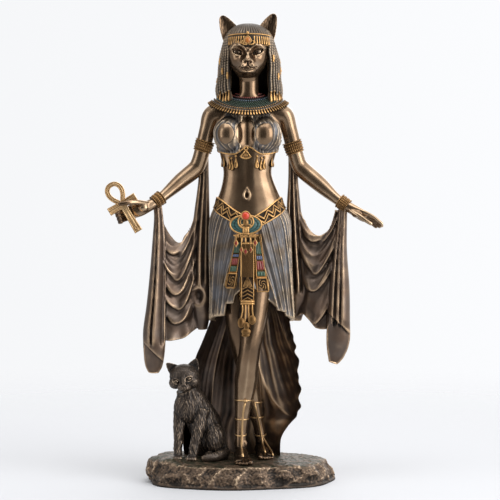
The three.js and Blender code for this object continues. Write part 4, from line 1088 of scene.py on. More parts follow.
# Each row: its place between the neck and the rim, and how many beads go round it.
for name, paint, radii, rows in (
        ("collar_red_beads", red_paint, (0.56, 0.52, 0.6), ((0.07, 44), (0.18, 48))),
        ("collar_blue_beads", sky_paint, (0.42, 0.45, 0.66), ((0.3, 50),)),
        ("collar_green_beads", green_paint, (0.54, 0.5, 0.5),
         ((0.41, 62), (0.505, 68), (0.6, 74), (0.695, 80)))):
    spots = []
    for share, count in rows:
        above = 0.75 + 0.9 * smooth(0.3, 0.05, share)
        spots += collar_row(share, count, above, radii)
    beads = strew(name, bead_model((1, 1, 1)), spots)
    # Painted shade, with the dark wash, in the gaps between the packed beads.
    wear_and_shade(beads, near=0.05, far=0.2, rounds=(1, 4), start=0.5, reach=outer(COLLAR_AXIS, tilt=0.9, low=0.5))
    dress(beads, paint)
tube_bead = limb("tube bead", [[0, 0, 1.6, 0.2], [0, 0, 1.4, 0.58], [0, 0, 0.9, 0.64], [0, 0, 0.55, 0.48],
                               [0, 0, -0.9, 0.66], [0, 0, -1.4, 0.56], [0, 0, -1.6, 0.2]],
                 sides=10, steps=14)
fringe = join("collar_gold_beads", [
    strew("fringe", tube_bead, collar_row(0.92, 74, above=0.35, size=1)),
    strew("gold row", bead_model((0.5, 0.42, 0.44)), collar_row(0.785, 80, above=0.75, size=1)),
    strew("neck row", bead_model((0.4, 0.4, 0.4)), collar_row(0.01, 44, above=1.1, size=1)),
])
# Painted shade, with the dark wash, in the gaps between the gold tubes and beads.
wear_and_shade(fringe, near=0.05, far=0.2, rounds=(1, 5), start=0.58, reach=outer(COLLAR_AXIS, tilt=0.6, low=0.45))
dress(fringe, gold_finish, keep=0.6)


# Bust cloth: fine pleated linen that hangs from under the collar to a cord under the bust, open over the
# breastbone. Moulded on the body as thin relief, washed blue-grey. The pleats part round a smooth burnished
# oval on each side.
linen_finish = bronze("blue-washed bronze linen", "#15110e", "#54493e", "#c2ac90",
                      metal=0.66, gloss=0.34, grit=0.05, wash=("#68707b", 0.5))
BUST_X, BUST_Y = 5.0, 0.5
bodice_tree = BVHTree.FromObject(body, bpy.context.evaluated_depsgraph_get())


def girth(angle, height):
    """The trunk's reach from its axis, at angles from the front (towards +X) and heights."""
    found = np.zeros(angle.shape)
    for index in np.ndindex(angle.shape):
        way = Vector((math.sin(angle[index]), -math.cos(angle[index]), 0))
        origin = Vector((BUST_X, BUST_Y, height[index])) * MM
        found[index] = bodice_tree.ray_cast(origin, way)[3] / MM
    return found


def on_trunk(angle, height, off):
    """Points on the trunk at angles and heights, raised off it."""
    reach = girth(angle, height) + off
    return np.stack([BUST_X + reach * np.sin(angle), BUST_Y - reach * np.cos(angle), height], axis=-1)


def cord_level(angle):
    """The height of the cord: it sags under each breast and rises to the ring and at the sides."""
    ahead = np.abs(wrapped(angle))
    return 182 + 3.8 * smooth(0.75, 0.05, ahead) + 1.2 * smooth(0.9, 1.5, ahead)


def shell(name, points, thick):
    """A sheet from rows of points, bottom row first as seen from outside, with its thickness laid inward."""
    sheet = roll(name, points, closed=False)
    modify(sheet, "SOLIDIFY", thickness=thick * MM, offset=-1)
    return sheet


across = np.linspace(0, 1, 560)[None, :]
up = np.linspace(0, 1, 64)[:, None]
right_edge, left_edge = 0.3 + 0.05 * up, 0.46 + 0.08 * up
angle = right_edge + (2 * math.pi - right_edge - left_edge) * across
ahead = np.minimum(angle, 2 * math.pi - angle)
# The cloth's top runs high under the collar, drops at the arms and is straight across the back.
top = 206 - 16 * smooth(1.08, 1.42, ahead) + 6 * smooth(1.7, 2.4, ahead)
low = cord_level(angle)
cloth = on_trunk(angle, low + (top - low) * up, 0)
# Each oval: its centre's x and height, half width and half height.
OVALS = [(-7.0, 193.2, 5.3, 6.4), (13.9, 193, 5.6, 7.0)]
clear_of, parted = np.full(angle.shape, 9.0), 0 * cloth[..., 0]
for centre_x, centre_z, wide, high in OVALS:
    aside = (cloth[..., 0] - centre_x) / wide
    apart = np.hypot(aside, (cloth[..., 2] - centre_z) / high)
    clear_of = np.where(ahead < 1.5, np.minimum(clear_of, apart), clear_of)
    parted = parted - np.where(ahead < 1.5, 0.08 * aside / np.maximum(apart, 0.9) ** 2, 0)
run = angle + parted * smooth(1.5, 1.2, ahead)
ridges = np.abs(np.sin(26 * run + 0.9 * np.sin(5 * up + 7 * run))) ** 0.8
pleat = 0.8 * (0.6 - ridges) + 0.25 * np.sin(19 * run + 4 * up)
pleat += 0.22 * np.sin(71 * run + 2.5 * np.sin(3 * up + 5 * run)) * smooth(1.1, 1.6, clear_of)
rise = (0.5 + pleat) * smooth(0.8, 1.02, clear_of) + 0.1
outward = np.stack([np.sin(angle), -np.cos(angle), 0 * angle], axis=-1)
bodice = shell("bust_cloth", cloth + outward * rise[..., None], thick=1.0)
wear_and_shade(bodice, near=0.1, far=0.3, rounds=(2, 10), start=0.5)
dress(bodice, linen_finish, keep=0.32)

# The ovals take the skin's burnish: slightly crowned plates laid over the cloth where the pleats part.
ovals = []
for centre_x, centre_z, wide, high in OVALS:
    spin = whole_turn(60)[None, :]
    out_to = np.linspace(0.02, 1, 16)[:, None]
    oval_x, oval_z = centre_x + wide * out_to * np.cos(spin), centre_z + high * out_to * np.sin(spin)
    # The trunk isn't round, so the angle that meets each x is found in four steps.
    turned = np.arctan2(oval_x - BUST_X, 9.5)
    for step in range(4):
        turned = np.arcsin(np.clip((oval_x - BUST_X) / girth(turned, oval_z), -0.95, 0.95))
    face_on = on_trunk(turned, oval_z, 0.8 - 0.85 * out_to ** 2 + 0 * spin)
    inner_face = on_trunk(turned, oval_z, -0.8 + 0 * turned)[::-1]
    ovals.append(roll("oval", np.concatenate([inner_face, face_on[::-1]])[::-1]))
ovals = join("bust_ovals", ovals)
wear_and_shade(ovals, near=1.0, far=4, rounds=(5, 30), start=0.56)
dress(ovals, skin_finish)

# The cord, its ring and fan pendant, and the gold drops that hang from it over the bare waist.
FAN_X, FAN_TOP, FAN_WIDE, FAN_DEEP, FAN_SWING = 3.7, 184.0, 4.7, 4.9, 0.733
cord_turns = whole_turn(120)
cord_ring = on_trunk(cord_turns, cord_level(cord_turns), 0.5)
away = np.stack([np.sin(cord_turns), -np.cos(cord_turns), 0 * cord_turns], axis=-1)
trim = [hoop_of("bust cord", cord_ring, away, thick=0.42)]
front_y = BUST_Y - girth(np.array([0.0]), np.array([183.0]))[0]
spin = whole_turn(28)
loop = np.stack([3.9 + 0.95 * np.cos(spin), front_y - 0.9 + 0 * spin, 185.2 + 0.95 * np.sin(spin)], axis=1)
trim.append(hoop_of("pendant ring", loop, loop - loop.mean(axis=0), thick=0.34))
swing = np.radians(np.linspace(-42, 42, 29))[None, :]
fan_down = np.linspace(1, 0.06, 15)[:, None]
ribbed = 0.14 * np.cos(swing * 14 / 0.73) * (fan_down < 0.86)
fan = [FAN_X + FAN_WIDE * fan_down * np.sin(swing),
       front_y - 0.9 - ribbed - 0.3 * (fan_down > 0.86) + 0 * swing,
       FAN_TOP - FAN_DEEP * fan_down * np.cos(swing)]
trim.append(shell("fan", np.stack(fan, axis=-1), thick=0.8))
for end in (-1, 1):
    edge = [(FAN_X + end * FAN_WIDE * down * math.sin(FAN_SWING), front_y - 1.1,
             FAN_TOP - FAN_DEEP * down * math.cos(FAN_SWING)) for down in (0.02, 0.5, 1)]
    trim.append(tube("fan edge", edge, thick=0.28, sides=8))
teardrop = limb("teardrop", [[0, 0, 3.4, 0.2, 0.2], [0, 0, 2.4, 0.5, 0.4], [0, 0, 0.6, 0.95, 0.6],
                             [0, 0, -1.2, 1.35, 0.8], [0, 0, -2.5, 1.05, 0.65], [0, 0, -3.0, 0.3, 0.2]],
                sides=20, steps=26)


def dished(points, normals):
    """The front of a teardrop is sunk within its rim."""
    from_middle = np.hypot(points[:, 0] / 1.25, (points[:, 2] + 0.8) / 2.2)
    return -0.25 * smooth(0.75, 0.45, from_middle) * (normals[:, 1] < 0)


def trunk_spot(angle, level, off, size):
    """A spot on the trunk at an angle from the front and a height, raised off it."""
    place = on_trunk(np.array([angle]), np.array([level]), off)[0]
    return place, (math.sin(angle), -math.cos(angle), 0), UP, size


press(teardrop, dished)
hangers, knobs = [], []
for x, level in ((-8.8, 176.2), (-5.9, 175.8), (-2.3, 177.0), (10.2, 176.9), (13.4, 175.9), (16.4, 176.4)):
    angle = math.atan2(x - BUST_X, 9.5)
    hangers.append(trunk_spot(angle, level, off=0.5, size=1))
    knobs.append(trunk_spot(angle, level + 3.8, off=0.6, size=0.75))
# Nine more hang from the cord over the sides and the back.
hangers += [trunk_spot(1.25 + step * 0.475, 177.6, off=0.4, size=0.95) for step in range(9)]
trim += [strew("drops", teardrop, hangers), strew("knobs", bead_model((1, 0.8, 0.9)), knobs)]
trim = join("bust_trim", trim)
# Painted shade, with the dark wash, on the faces of the drops and knobs that turn in to the trunk.
wear_and_shade(trim, near=0.05, far=0.25, rounds=(2, 8), start=0.55, reach=outer((BUST_X, BUST_Y), low=-0.1, high=0.8))
dress(trim, gold_finish)


# Armlets and bracelets: broad bands closed round the upper arms and the wrists, with corded rims and rows
# of square beads between them. Relief of the casting, painted antique gold.
def arm_band(name, start, end, radius, beads, rows_of_beads):
    """A band along the arm from start to end, with rows of square beads between two cord rims."""
    start, end = np.array(start, float), np.array(end, float)
    steps = max(36, int(np.linalg.norm(end - start) * 8))

    def worked(turn, share):
        rim = smooth(0.13, 0.08, share) + smooth(0.87, 0.92, share)
        inside = (share > 0.15) * (share < 0.85)
        across_row = np.abs(np.sin(math.pi * rows_of_beads * (share - 0.15) / 0.7)) ** 0.5
        along_row = np.abs(np.sin(turn * beads / 2)) ** 0.5
        cord = 0.12 * rim * np.cos(turn * beads * 1.5 + 40 * share)
        size = 1 + (0.5 * rim + cord + 0.55 * inside * across_row * along_row - 0.15) / radius
        size = size * smooth(-0.03, 0.03, share + 0.02) ** 0.3
        return size * np.cos(turn), size * np.sin(turn)
    rows = [[*(start + (end - start) * share), radius * (1 - 0.06 * share)] for share in (0, 0.33, 0.67, 1)]
    return join(name, [limb(name, rows, beads * 10, steps, np.cross(end - start, (0, 1, 0)), worked)])


for name, start, end, radius, beads, rows_of_beads in (
        ("armlet_ankh_arm", (-18.7, 2.5, 189.6), (-20.5, 2.9, 183.6), 5.1, 26, 3),
        ("armlet_open_arm", (29.3, 2.5, 189), (31.3, 3, 182.8), 5.1, 26, 3),
        ("bracelet_ankh_arm", (-42.8, -5, 158.2), (-46.9, -6.9, 155.1), 3.85, 18, 2),
        ("bracelet_open_arm", (55.6, -4.9, 156.2), (60, -6.3, 153.1), 3.85, 18, 2)):
    bangle = arm_band(name, start, end, radius, beads, rows_of_beads)
    wear_and_shade(bangle, near=0.08, far=0.3, rounds=(2, 8), start=0.5)
    dress(bangle, gold_finish)


# Long skirt: the train behind the legs, a heavy cloth that opens at the front and falls in deep folds to the
# rock. It's hollowed between the folds, dark inside, and its front edges ripple. Bronze with a little grey
# wash; the open hand's side is lightened with painted light and the ankh's side darkened with painted shade.
drape_finish = bronze("rubbed bronze drapery", "#14100c", "#57463a", "#c4a787",
                      metal=0.75, gloss=0.3, grit=0.05, wash=("#575451", 0.35))
TRAIN_TOP, TRAIN_FOOT = 104, 12
# From the waist down: z, the left front edge's x and y, the right one's, and how far back the inner and the
# outer face lie.
train_rows = [
    [104, -11, 0, 24.5, 0, 8, 15.5], [92, -15, -2, 28, -2, 10, 17.6], [83, -18.4, -3, 29.6, -3, 11, 20.6],
    [75.7, -21.4, -3, 30.6, -4, 12, 22], [69, -24.2, -3, 32.6, -5, 12.5, 23],
    [58, -27.4, -2, 33.6, -6, 14, 24.5], [44.3, -29.8, 0, 33.6, -6, 16, 26],
    [36, -30.8, 1, 32.6, -3, 17, 27], [30, -31.2, 1, 27.5, 2, 17, 27.2],
    [22, -31.6, 2, 23.6, 8, 17.5, 27.5], [12, -30.6, 3, 23.2, 9, 18, 27.5],
]


def train_wall(rows, share, outside):
    """Points of the inner or outer face: share runs from the left front edge round to the right one."""
    z, left_x, left_y, right_x, right_y, inner, outer_y = (rows[:, i:i + 1] for i in range(7))
    swing = math.pi * share
    from_edge = np.sin(swing) ** 0.35
    down = (TRAIN_TOP - z) / (TRAIN_TOP - TRAIN_FOOT)
    # The folds spread from the waist, so they get deeper and fewer lines run between them lower down.
    swept = share * (1 - 0.73 * (down - 0.265) * share ** 2)
    waves = 4.4 * swept + 0.35 + 0.3 * np.sin(3 * share + 1.4 * down)
    fold = 3.4 * (1 - np.abs(np.sin(math.pi * waves)) ** 0.8 - 0.4)
    fold += (0.35 * np.sin(2 * math.pi * (11 * swept + 0.7 * down))
             - 0.12 * np.cos(2 * math.pi * (31 * swept + 0.5 * down)))
    fold *= (0.35 + 0.65 * down) * (0.3 + 0.7 * from_edge) * smooth(100, 84, z)
    curl = np.sin(0.5 * z + 1.3 * np.sin(0.27 * z)) + 0.3 * np.sin(1.1 * z)
    at_edge = (1 - from_edge) * smooth(0.6, 0.9, share)
    ripple = 0.9 * curl * at_edge * smooth(98, 86, z) * smooth(30, 36, z)
    depth = outer_y if outside else inner
    ends = left_y + (right_y - left_y) * share
    x = left_x + (right_x - left_x) * (1 - np.cos(swing)) / 2
    x = x - (0.4 * fold * from_edge + ripple) * np.cos(swing)
    y = ends + (depth - ends - fold * (1 if outside else 1.3)) * np.sin(swing) ** 0.7 - 1.2 * ripple
    return np.stack([x, y, z + 0 * x], axis=-1)


def train_painted_light(points, normals):
    """Painted light and shade: lighter on the open hand's side, darker on the ankh's side, and darker on
    faces that look backward.
    """
    light_side_factor = 0.7 + 0.45 * smooth(-10, 14, points[:, 0])
    return light_side_factor * (1 - 0.35 * smooth(0, 0.5, normals[:, 1]))


train_levels = spread(train_rows, 150)
round_train = np.linspace(0, 1, 260)[None, :]
outer_wall = train_wall(train_levels, round_train, outside=True)[:, ::-1]
inner_wall = train_wall(train_levels, round_train[:, 1:-1], outside=False)
train = roll("long_skirt", np.concatenate([outer_wall, inner_wall], axis=1))
wear_and_shade(train, near=0.12, far=0.35, rounds=(6, 70), start=0.55, reach=train_painted_light)
dress(train, drape_finish, keep=0.3)


# Overskirt: pleated linen from the belt to above the knees, pulled up at the front, where its hem falls in
# stepped folds. Washed blue-grey, with every ridge rubbed to bright bronze.
hip_rows = [
    [88, 7.2, 0.5, 23.2, 15.6, 19.6], [104, 6.8, 0.5, 22.8, 15, 18.4], [118, 6.4, 0.5, 22.8, 14.6, 17.6],
    [132, 6.1, 0.5, 22.8, 14.4, 17], [144, 6.1, 0.5, 22.4, 13.8, 15.8], [150, 5.9, 0.5, 20.8, 12.6, 14.6],
    [154, 5.8, 0.5, 18.4, 11.2, 12.8], [158, 5.6, 0.2, 17.3, 10.5, 11.3], [162, 5.5, 0, 16, 9.7, 10.1],
]


def belt_level(turn):
    """The belt's middle: high on the hips, and straight down at both sides to a point under the buckle."""
    from_front = np.abs(wrapped(turn + math.pi / 2))
    return 155.4 - 12.6 * (1 - np.sin(np.minimum(from_front, math.pi / 2)))


def radial(turn):
    """The way out from an upright axis at these turns."""
    return np.stack([np.cos(turn), np.sin(turn), 0 * turn], axis=-1)


# The hem by its angle from the front, in radians to the viewer's left (-) and right (+).
HEM = [(-3.2, 87.5), (-1.9, 88.5), (-1.5, 90.2), (-1.15, 92), (-0.76, 92.8), (-0.7, 99.6), (-0.48, 99.9),
       (-0.43, 104.2), (-0.3, 106.8), (0.1, 107), (0.28, 105), (0.53, 100.4), (0.7, 96), (0.98, 94.6),
       (1.04, 92.4), (1.4, 90.4), (1.9, 88.5), (3.2, 87.5)]
pleat_turns = np.linspace(-math.pi / 2, 1.5 * math.pi, 960, endpoint=False)[None, :]
fall = np.linspace(0, 1, 80)[:, None]
from_front = wrapped(pleat_turns + math.pi / 2)
hem = np.interp(from_front, *np.array(HEM).T)
upper = belt_level(pleat_turns)
# The pleats leave the belt close together beside the buckle and fan out down to the hem.
along = from_front - 0.6 * fall ** 0.8 * np.sin(np.clip(1.6 * from_front, -math.pi, math.pi))
uneven = 0.7 + 0.3 * np.sin(7.3 * along + 1.1) + 0.25 * np.sin(17 * along)
ridges = 1 - np.abs(np.sin(24 * along + 0.6 * np.sin(5 * along) + 0.3 * np.sin(4 * fall + 9 * along))) ** 0.8
fine_lines = 1 - np.abs(np.sin(67 * along + 0.6 * np.sin(3 * fall))) ** 0.8
relief = 2.2 * (ridges - 0.36) * uneven * (0.25 + 0.75 * fall ** 0.7) + 0.2 * (fine_lines - 0.4)
level = upper + (hem - upper) * fall
cloth = round_form(hip_rows, pleat_turns + 0 * level, level)
outward = radial(pleat_turns + 0 * level)
outside = cloth + outward * relief[..., None]
# The lining follows the pleats more flatly and goes up inside, where four rows are enough.
inside = (cloth + outward * (relief[..., None] * 0.8 - 1.3))[[-1, -6, -16, -30]]
skirt = roll("overskirt", np.concatenate([outside, inside]))
wear_and_shade(skirt, near=0.24, far=0.8, rounds=(4, 30), start=0.47)
dress(skirt, linen_finish, keep=0.42)


# Shawl: one long cloth over both forearms. At each side it falls from the elbow and from the wrist, and sags
# between them in nested U folds. Heavy drapery bronze, with the long ridges rubbed bright.
def swag(top, bottom, belly, depths):
    """A sheet hung between its top and bottom edges. depths are how far down each U fold's foot is."""
    top, bottom = spread(top, 90), spread(bottom, 90)
    down = np.linspace(0, 1, 120)[:, None]
    u = np.linspace(-1, 1, 91)[None, :]
    sheet = top[None] * (1 - down[..., None]) + bottom[None] * down[..., None]
    lifted = (15 + 13 * np.sin(math.pi * down) - 10 * down) * np.abs(u + 0.1) ** 2
    sunk = top[:, 2].min() - sheet[..., 2] + lifted
    # The phase goes up by one at the foot of each fold.
    folds = np.arange(len(depths) + 2)
    phase = np.interp(sunk, [-8, *depths, depths[-1] + 18], folds + 0.2 * (folds == 0))
    # Each fold swells out downward and turns under sharply at its foot, with finer ones across the top.
    part = (phase + 0.05 * np.sin(7 * u + 9 * phase)) % 1
    swell = smooth(0.1, 0.86, part) * smooth(1.0, 0.88, part)
    fine = (1 - np.abs(np.sin(math.pi * (3 * phase + 0.4 * u))) ** 0.8) * smooth(0.7, 0.1, down)
    middle = 1 - np.abs(u) ** 3
    bulge = 3.4 * swell * (0.75 + 0.25 * np.sin(3 * phase + 5 * u)) + 0.7 * fine - 1
    sheet[..., 1] -= (belly * np.sin(math.pi * np.minimum(down * 1.15, 1)) * middle
                      + bulge * (0.35 + 0.65 * middle))
    return shell("swag", sheet[::-1], thick=2.2)


def gathered_fall(rows, folds, plain):
    """A fall of gathered cloth: rows of its middle line and sizes, and its folds as points round a flat
    tube. From the share plain downward, where the cloth turns back, it is round and smooth."""
    across, depth = spread([*folds, folds[0]], 110)[:-1].T
    smoothed = np.sign(depth) * 0.8 * np.sqrt(np.clip(1 - across ** 2, 0, 1))

    def gathered(turn, share):
        even = smooth(plain, plain + 0.06, share)
        return across[None, :] + 0 * share, -(depth * (1 - even) + smoothed * even)
    return limb("fall", rows, sides=110, steps=90, section=gathered)


def cut_below(points, normals, start, end, depth):
    """Sinks the front of a fall under a slanting edge, where the layer behind shows."""
    x, y, z = points.T
    (x0, z0), (x1, z1) = start, end
    under = z0 + (z1 - z0) * (x - x0) / (x1 - x0) - z
    on_fall = (x > min(x0, x1) - 3) * (x < max(x0, x1) + 3)
    return -depth * smooth(0, 0.5, under) * smooth(-0.1, 0.95, -normals[:, 1]) * on_fall


def rolled_mouth(points, normals):
    """The dark opening at the foot of the elbow's fall on the ankh's side, with its rolled rim."""
    far = np.hypot((points[:, 0] + 22.8) / 4.2, (points[:, 2] - 102.8) / 5.2)
    return smooth(0.1, 0.5, -normals[:, 1]) * (0.12 * bell(far, 1.05, 0.16) - 3.2 * smooth(1.0, 0.3, far))


# Round each fall: places across (-1 to 1) and their depth (-1 is the front), flat planes between folds.
WRIST_FOLDS = [(-1, 0.15), (-0.88, -0.3), (-0.6, -0.72), (-0.4, -0.84), (-0.3, -0.6), (-0.22, -0.62),
               (-0.08, -1.04), (0.2, -0.94), (0.56, -0.6), (0.68, -0.34), (0.8, -0.32), (0.95, -0.3),
               (1, 0.1), (0.7, 0.5), (0.1, 0.62), (-0.5, 0.58), (-0.86, 0.45)]
ELBOW_FOLDS = [(-1, 0.1), (-0.9, -0.4), (-0.6, -0.7), (-0.44, -0.32), (-0.3, -0.36), (-0.1, -0.9),
               (0.1, -1.0), (0.3, -0.5), (0.4, -0.44), (0.56, -0.72), (0.8, -0.5), (1, -0.1),
               (0.9, 0.4), (0.4, 0.7), (-0.4, 0.7), (-0.85, 0.5)]
OPEN_FOLDS = [(-1, 0.1), (-0.88, -0.34), (-0.6, -0.72), (-0.46, -0.5), (-0.36, -0.52), (-0.2, -0.86),
              (-0.02, -0.84), (0.06, -0.6), (0.14, -0.62), (0.24, -1.04), (0.6, -0.86), (0.9, -0.5),
              (1, -0.05), (0.86, 0.4), (0.3, 0.62), (-0.4, 0.6), (-0.85, 0.45)]
ankh_side = [
    gathered_fall([[-19.8, 5.6, 182, 2.8, 2.6], [-19.8, 6, 168, 3.0, 3.0], [-20.8, 5.4, 149, 4.4, 4.0],
                   [-22, 4.4, 128, 5.8, 5.4], [-22, 3.0, 106, 5.6, 5.6], [-20.8, 4.4, 92, 4.4, 4.2],
                   [-20.4, 5, 84, 2.6, 2.2]], ELBOW_FOLDS, plain=0.6),
    gathered_fall([[-45.2, -5.2, 155, 2.4, 2.4], [-44.5, -4.6, 147, 2.6, 3.0], [-44.4, -4.6, 134, 3.6, 4.2],
                   [-45, -4.6, 115, 4.6, 5.4], [-46, -4.8, 98, 5.4, 5.8], [-47, -4.8, 84, 6.3, 5.6],
                   [-47.1, -4.2, 74, 6.1, 5], [-47.4, -3.4, 65, 5.0, 3.6], [-47.6, -3, 60.4, 2.8, 2]],
                  WRIST_FOLDS, plain=0.68),
    swag(top=[(-44.4, -5, 151), (-41.4, -3, 143.5), (-37.8, -1, 137), (-33.8, 0, 133.2), (-30.4, 0.6, 135.2),
              (-26.6, 3, 143), (-22, 5, 158)],
         bottom=[(-43.4, -3, 80), (-40.6, -3, 78.8), (-36.6, -3, 78.6), (-33, -2, 79.2), (-29, -1, 80.8),
                 (-25.4, 2, 83.4), (-21.6, 4, 86)], belly=3.2, depths=[9, 21.5, 30, 38, 46]),
]
shawl_left = fuse("shawl_ankh_side", ankh_side, voxel=0.4, rounds=2)
press(shawl_left, lambda points, normals: cut_below(points, normals, (-51.4, 76.4), (-41.5, 66.8), 1.0))
press(shawl_left, rolled_mouth)

open_side = [
    gathered_fall([[30, 5.6, 182, 2.6, 2.4], [30.2, 6, 168, 2.8, 3.0], [30.6, 5.6, 149, 4.2, 4.0],
                   [31.6, 4.6, 128, 5.2, 5.2], [32.8, 3.4, 108, 5.4, 5.4], [32.6, 4.4, 97, 4.4, 3.6],
                   [32.2, 5, 89, 2.6, 2.2]], ELBOW_FOLDS, plain=0.66),
    gathered_fall([[57.6, -5.2, 154, 2.4, 2.4], [57.0, -4.6, 143, 2.8, 3.2], [56, -4.6, 128, 3.9, 4.4],
                   [55.6, -4.8, 108, 5.7, 5.6], [55.2, -4.8, 90, 6.4, 5.8], [55, -4.2, 79, 6.6, 5],
                   [53.8, -3.6, 71, 5.0, 3.8], [52.2, -3, 66, 2.6, 2.2]], OPEN_FOLDS, plain=0.56),
    swag(top=[(32.4, 5, 160), (36, 3, 146.4), (40, 0.6, 139.6), (44.4, 0, 137), (48.6, -1, 139),
              (53, -3, 145.6), (55.2, -4, 151)],
         bottom=[(32, 4, 91), (35, 2, 93), (38, -1, 90.6), (41.4, -2, 86.4), (44.6, -3, 84.8),
                 (49, -3, 84.8), (53, -3, 86)], belly=3.2, depths=[5.5, 22, 32]),
]
shawl_right = fuse("shawl_open_side", open_side, voxel=0.4, rounds=2)
press(shawl_right, lambda points, normals: cut_below(points, normals, (51.6, 92.2), (62, 82.6), 1.6))
for shawl in (shawl_left, shawl_right):
    wear_and_shade(shawl, near=0.4, far=1.1, rounds=(8, 80), start=0.49)
    dress(shawl, drape_finish, keep=0.38)


# Belt: a stiff band low on the hips, dipping to the buckle, with raised rims and a double zigzag between
# them. Relief of the casting, gold on the ridges and dark wash in the ground.
BELT_ZIGZAGS = 23
belt_turns = whole_turn(900)[None, :]
strip = np.linspace(-1, 1, 27)[:, None]
ahead = np.abs(wrapped(belt_turns + math.pi / 2))
tall = 3.1 + 0.7 * smooth(1.3, 0.9, ahead)
zag = np.abs(((belt_turns * BELT_ZIGZAGS / (2 * math.pi)) % 1) * 2 - 1) * 2 - 1
rims = smooth(0.8, 0.86, np.abs(strip)) * smooth(1.02, 0.98, np.abs(strip))
zigzags = np.maximum(smooth(0.2, 0.1, np.abs(strip - 0.42 * zag + 0.3)),
                     smooth(0.2, 0.1, np.abs(strip - 0.42 * zag - 0.3))) * smooth(0.8, 0.74, np.abs(strip))
lift = 0.75 + 0.5 * rims + 0.42 * zigzags - 1.2 * smooth(0.97, 1.0, np.abs(strip))
belt_z = belt_level(belt_turns) + tall * strip
round_belt = belt_turns + 0 * belt_z
wrap = round_form(hip_rows, round_belt, belt_z) + radial(round_belt) * lift[..., None]
belt = shell("belt", np.concatenate([wrap, wrap[:, :1]], axis=1), thick=1.2)
wear_and_shade(belt, near=0.05, far=0.12, rounds=(2, 6), start=0.34)
dress(belt, gold_finish, keep=0.32)


# Buckle: a winged scarab under a red sun disc, raised on the belt's point. The wings are enamelled teal with
# a gold rim, and beneath them a row of gold flowers carries five red lozenges.
BUCKLE = np.array([3.8, -15.4, 143.3])
WING_WIDE, WING_HIGH = 8.3, 4.9
teal_paint = enamel("teal green enamel", "#315450", "#122322")
wing_form = ball(BUCKLE + (0, 0.2, 0), (WING_WIDE, 1.3, WING_HIGH), segments=72, rings=40)
wings = join("scarab_wings", [wing_form])


def feathers(points, normals):
    """Rows of feathers that fan out and down from the body."""
    x, z = points[:, 0] - BUCKLE[0], points[:, 2] - BUCKLE[2]
    far = np.hypot(x / WING_WIDE, z / WING_HIGH)
    ribs = np.abs(np.sin(13 * np.arctan2(z + 1, np.abs(x) + 0.5)))
    return (normals[:, 1] < 0) * (far > 0.5) * (0.16 * ribs - 0.3 * bell(far, 0.76, 0.05))


press(wings, feathers)
wear_and_shade(wings, near=0.04, far=0.3, rounds=(2, 8), start=0.4)
dress(wings, teal_paint)


def flat_ring(centre, wide, high, thick, count=72):
    """A round cord along a flat upright oval."""
    spin = whole_turn(count)
    out = np.stack([wide * np.cos(spin), 0 * spin, high * np.sin(spin)], axis=1)
    return hoop_of("ring", np.array(centre, float) + out, out, thick)


# The rim, two rings behind the body, the scarab's body and head, the disc's rim and the block below.
buckle = [flat_ring(BUCKLE + (0, -0.2, 0), 8.6, 5.15, thick=0.5),
          flat_ring(BUCKLE + (0, -1.0, 1.6), 4.2, 3.7, thick=0.45),
          flat_ring(BUCKLE + (0, -0.9, 1.4), 3.0, 2.7, thick=0.34),
          ball(BUCKLE + (0, -0.7, 1.2), (1.7, 1.5, 2.3), segments=28, rings=20),
          ball(BUCKLE + (0, -0.9, 3.5), (1.3, 1.2, 0.9), segments=20, rings=14),
          flat_ring((3.7, -17.0, 148.2), 2.35, 2.35, thick=0.36)]
for place in (-1.25, 0, 1.25):
    buckle.append(ball(BUCKLE + (place, -0.8, -3.3), (0.68, 1.0, 2.1), segments=16, rings=12))
for level in (-1.6, -5.0):
    rim = [BUCKLE + (-2.1, -0.9, level), BUCKLE + (0, -1.2, level), BUCKLE + (2.1, -0.9, level)]
    buckle.append(tube("block rim", rim, thick=0.4, sides=8))
for end in (-1, 1):
    upper_leg = [BUCKLE + (end * 1.2, -1.3, 2.6), BUCKLE + (end * 2.6, -1.5, 4.2),
                 BUCKLE + (end * 2.2, -1.6, 5.4)]
    lower_leg = [BUCKLE + (end * 1.2, -1.2, 0.2), BUCKLE + (end * 2.8, -1.3, -0.6),
                 BUCKLE + (end * 2.3, -1.2, -1.8)]
    buckle += [tube("scarab leg", leg, thick=0.34, sides=8) for leg in (upper_leg, lower_leg)]


def lozenge(centre, wide, long, thick):
    """A four-sided plate that stands upright on its point, with its edges rounded."""
    bpy.ops.mesh.primitive_cylinder_add(vertices=4, radius=MM, depth=MM, location=centre * MM,
                                        rotation=(math.pi / 2, 0, 0))
    plate = bpy.context.object
    plate.scale = (wide, long, thick)
    bpy.ops.object.transform_apply(location=True, rotation=True, scale=True)
    modify(plate, "BEVEL", width=0.16 * MM, segments=2)
    return plate


# Each lozenge is a gold mount with a red stone, on a stem with a gold lotus flower at its head.
stones = []
for x, top_z, long, wide in ((-1.5, 135.7, 2.5, 1.35), (1.4, 131.6, 2.0, 1.1), (3.7, 131.2, 2.6, 1.5),
                             (6.6, 131.6, 2.0, 1.1), (9.0, 135.9, 2.5, 1.35)):
    centre = np.array([x, -15.9, top_z - long])
    buckle.append(lozenge(centre, wide, long, thick=0.8))
    stones.append(lozenge(centre, wide * 0.62, long * 0.62, thick=1.25))
    flower_x = x + 0.1 * (3.7 - x)
    buckle.append(tube("stem", [(x, -15.9, top_z), (flower_x, -15.8, 137.6)], thick=0.42, sides=8))
    for petal in (-1, 0, 1):
        place = (x + 0.7 * petal + 0.1 * (3.7 - x), -16.0, 137.2 - 0.3 * abs(petal))
        buckle.append(ball(place, (0.42, 0.5, 0.95), segments=12, rings=10))
for x in np.linspace(-2.6, 10.2, 13):
    buckle.append(ball((x, -15.6, 138.2 - 0.02 * (x - 3.8) ** 2), (0.5, 0.5, 0.5), segments=10, rings=8))
buckle = join("buckle_gold", buckle)
wear_and_shade(buckle, near=0.07, far=0.25, rounds=(2, 8), start=0.42)
dress(buckle, gold_finish)
